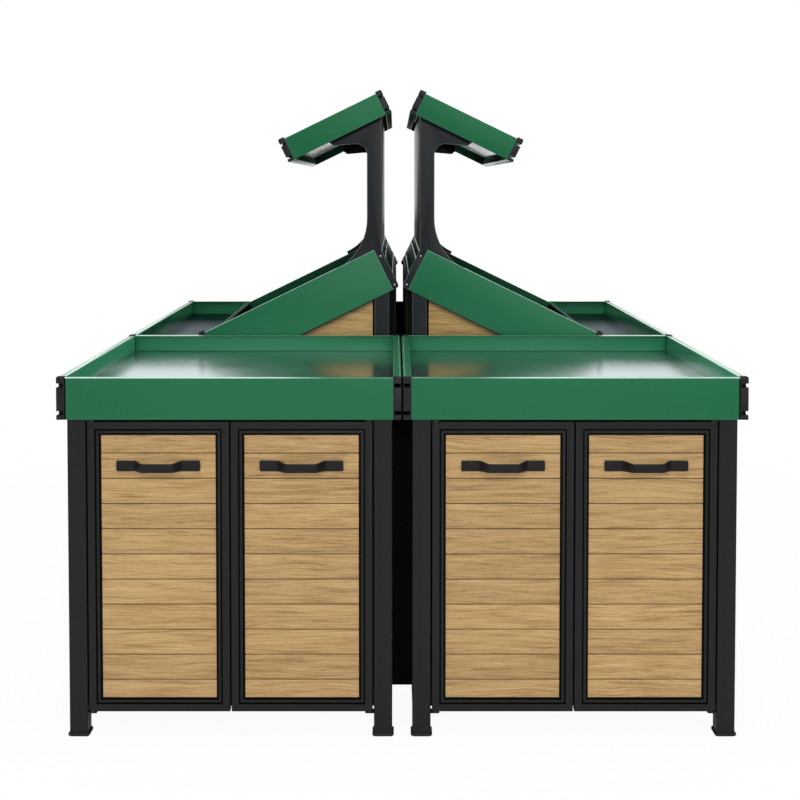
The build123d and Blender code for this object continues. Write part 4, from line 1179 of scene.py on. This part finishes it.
# The infill's eased edges are near-black: a painted shadow gap round it.
infill = rounded("slope_tray_infills", INFILL_EDGE, shaded_oak, "oak_board")
infill.data.materials.append(painted_shade_black)
infill.modifiers["eased_edges"].material = 1
lengths, tints = [], []
for vertex in infill.data.vertices:
    x, y, z = (part * size for part, size in zip(vertex.co, INFILL_GRAIN))
    lengths.extend((x + INFILL_GRAIN_START, y, z + (INFILL_GRAIN_SHIFT if x > 0 else 0.0)))
    tints.append(INFILL_TONE)
infill.data.attributes.new("grain", "FLOAT_VECTOR", "POINT")
infill.data.attributes.new("board", "FLOAT", "POINT")
infill.data.attributes["grain"].data.foreach_set("vector", lengths)
infill.data.attributes["board"].data.foreach_set("value", tints)

# Top trays: shallow green trays on the arms of the plates, built like the ones below, with
# a stainless deck. The sheets are a darker green as painted shade, with near-black
# undersides as painted shade, and the plates get a painted shadow band below them. The
# deck's top is the brushed steel; its underside and edges, which show silver from the
# front, are a near-white steel as painted light.
# Darker green for the top trays' sheets: painted shade.
TOP_SHADED_GREEN = (0.0130, 0.1230, 0.0520)
TOP_FINISH = (0.34, 0.09)
TOP_RAIL_FINISH = (0.60, 0.02)
TOP_RAILS_FROM = 0.2
# Near-white steel for the decks' undersides and edges: painted light.
TOP_DECK_LIT_STEEL = (0.90, 0.92, 0.91)
TOP_DECK_ROUGHNESS = (0.16, 0.05)
DECK_EDGE = 0.0003
LEVEL = 0.5
# Band of painted shadow on the plates just below the top trays' sheets.
ARM_SHADE = (0.0130, 0.0050)
ARM_DARKEST = 0.15

top_coat = coated("top_green_painted_shade", TOP_SHADED_GREEN, TOP_FINISH, SHEET_PEEL)
top_rail = coated("top_rail_coat", GREEN, TOP_RAIL_FINISH, FLAT_PEEL)
top_steel = steel(
    "underside_painted_light_steel", TOP_DECK_LIT_STEEL, TOP_DECK_ROUGHNESS, BRUSH_LINES, BRUSH_DEPTH
)
top_sheets = rounded("top_tray_panels", SHEET_EDGE, top_coat, "green_sheet", FOLD_LIMIT)
lined(top_sheets, sheet_edge, green_rim)
# The sheets' undersides are near-black as painted shade.
painted(top_sheets, painted_shade_black, lambda face: face.normal.z < -LEVEL)
# The plates' coat is darkened, and its gloss dimmed, as painted shadow below the top sheets.
arm_shadow = shaded_below(plate_coat, top_sheets, ARM_SHADE, ARM_DARKEST)
regloss(plate_coat, sums(plate_coat.node_tree, "MULTIPLY", arm_shadow, BLACK_FINISH[1]))
# The top rails' eased edges are painted highlight, and their tops and undersides away from the
# middle take the pale painted-highlight rim green.
top_edges = rounded("top_tray_edge_rails", RAIL_EDGE, top_rail, "green_rail", FOLD_LIMIT)
lined(top_edges, green_edge, green_rim, TOP_RAILS_FROM, under=True)
# The decks' tops are the brushed steel; all other faces take the near-white steel as painted
# light.
top_decks = rounded("top_tray_decks", DECK_EDGE, top_steel, "steel_deck", FOLD_LIMIT)
painted(top_decks, deck_steel, lambda face: face.normal.z > LEVEL)

# Back covers and centre fillers: thin black pans that close the backs of the racks, and
# channels that close the gap between the two halves at both ends and tie them together.
# The fillers are near-black as painted shade for the deep gap; the covers take the same
# near-black, with a smoother, lighter black on their upper part.
COVER_EDGE = 0.0005
COVER_LIMIT = 40
UPPER_COVER_FROM = 1.0
COVER_BLACK = (0.030, 0.031, 0.034)
COVER_FINISH = (0.30, 0.50)

cover_coat = coated("smooth_black_coat", COVER_BLACK, COVER_FINISH)
covers = rounded("rack_back_covers", COVER_EDGE, painted_shade_black, "black_coat", COVER_LIMIT)
painted(covers, cover_coat, lambda face: face.center.z > UPPER_COVER_FROM)
# The fillers are near-black as painted shade for the deep gap.
finished(painted_shade_black, "centre_fillers")

# Studio: a pale floor that keeps a soft shadow, broad softboxes before, above, behind and
# on both sides of the object, a low card behind it, and an even white surround.
WHITE = (1, 1, 1, 1)
FLOOR_SIZE = 16.0
FLOOR_PAINT = (0.86, 0.86, 0.86, 1)
FLOOR_GLOW = 0.95
FLOOR_NEAR = 1.6
FLOOR_FAR = 3.6
SURROUND_FILL = 0.19
MIRRORED_WHITE = 0.26
SOFTBOXES = (  # name, place, tilt, size, power and turn
    ("front_softbox", (0, -6.0, 3.1), 66, (5.0, 3.4), 189.0, 0),
    ("top_softbox", (0, -1.3, 4.6), 0, (3.0, 2.4), 122.0, 0),
    ("back_card", (0, 4.0, 1.65), -90, (4.6, 1.3), 16.1, 0),
    ("left_softbox", (-4.5, 1.2, 2.2), 76, (6.6, 3.6), 58.0, -90),
    ("right_softbox", (4.5, 1.2, 2.2), 76, (6.6, 3.6), 58.0, 90),
    ("back_softbox", (0, 4.6, 5.2), 42, (7.0, 4.0), 130.0, 180),
)

slab = bmesh.new()
bmesh.ops.create_grid(slab, x_segments=1, y_segments=1, size=FLOOR_SIZE)
floor_mesh = bpy.data.meshes.new("studio_floor")
slab.to_mesh(floor_mesh)
slab.free()
floor = bpy.data.objects.new("studio_floor", floor_mesh)
bpy.context.scene.collection.objects.link(floor)
floor_paint = bpy.data.materials.new("pale_floor")
floor_paint.use_nodes = True
tree = floor_paint.node_tree
tree.nodes.clear()


def seen(tree):
    rays = add(tree, "ShaderNodeLightPath").outputs
    mirrored = sums(tree, "MULTIPLY", rays["Is Glossy Ray"], MIRRORED_WHITE)
    either = sums(tree, "MAXIMUM", rays["Is Camera Ray"], mirrored)
    return sums(tree, "MAXIMUM", either, rays["Is Transmission Ray"])


spot = {0: object_spot(tree)}
away = add(tree, "ShaderNodeVectorMath", spot, operation="LENGTH").outputs["Value"]
glow = ramp(tree, away, FLOOR_NEAR, FLOOR_FAR, FLOOR_GLOW, 1.0)
glow = sums(tree, "MULTIPLY", seen(tree), glow)
paint = add(tree, "ShaderNodeBsdfDiffuse", {"Color": FLOOR_PAINT}).outputs[0]
white = add(tree, "ShaderNodeEmission", {"Color": WHITE, "Strength": 1.0}).outputs[0]
both = add(tree, "ShaderNodeMixShader", {0: glow, 1: paint, 2: white}).outputs[0]
add(tree, "ShaderNodeOutputMaterial", {"Surface": both})
floor_mesh.materials.append(floor_paint)

surround = bpy.data.worlds.new("white_surround")
surround.use_nodes = True
tree = surround.node_tree
tree.nodes.clear()
level = sums(tree, "MAXIMUM", seen(tree), SURROUND_FILL)
sky = add(tree, "ShaderNodeBackground", {"Color": WHITE, "Strength": level}).outputs[0]
add(tree, "ShaderNodeOutputWorld", {"Surface": sky})
bpy.context.scene.world = surround

for name, place, tilt, size, power, turn in SOFTBOXES:
    light = bpy.data.lights.new(name, "AREA")
    light.shape = "RECTANGLE"
    light.size, light.size_y = size
    light.energy = power
    holder = bpy.data.objects.new(name, light)
    holder.location = place
    holder.rotation_euler = (math.radians(tilt), 0, math.radians(turn))
    bpy.context.scene.collection.objects.link(holder)

# Camera: stands before the doors a little left of the middle, at a height between the
# inclined and the top trays, with a fairly long lens and its film shifted towards the floor.
CAMERA_PLACE = (-0.01645, -4.26586, 1.21054)
CAMERA_TILT = 87.5
FILM_WIDTH = 36.0
FILM_SHIFT = (0.00657, -0.1893)
LENS = 67.45

eye = bpy.data.cameras.new("camera")
eye.sensor_width = FILM_WIDTH
eye.lens = LENS
eye.shift_x, eye.shift_y = FILM_SHIFT
camera = bpy.data.objects.new("camera", eye)
camera.location = CAMERA_PLACE
camera.rotation_euler = (math.radians(CAMERA_TILT), 0, 0)
bpy.context.scene.collection.objects.link(camera)
bpy.context.scene.camera = camera
bpy.context.scene.view_settings.view_transform = "Standard"

bpy.context.view_layer.update()
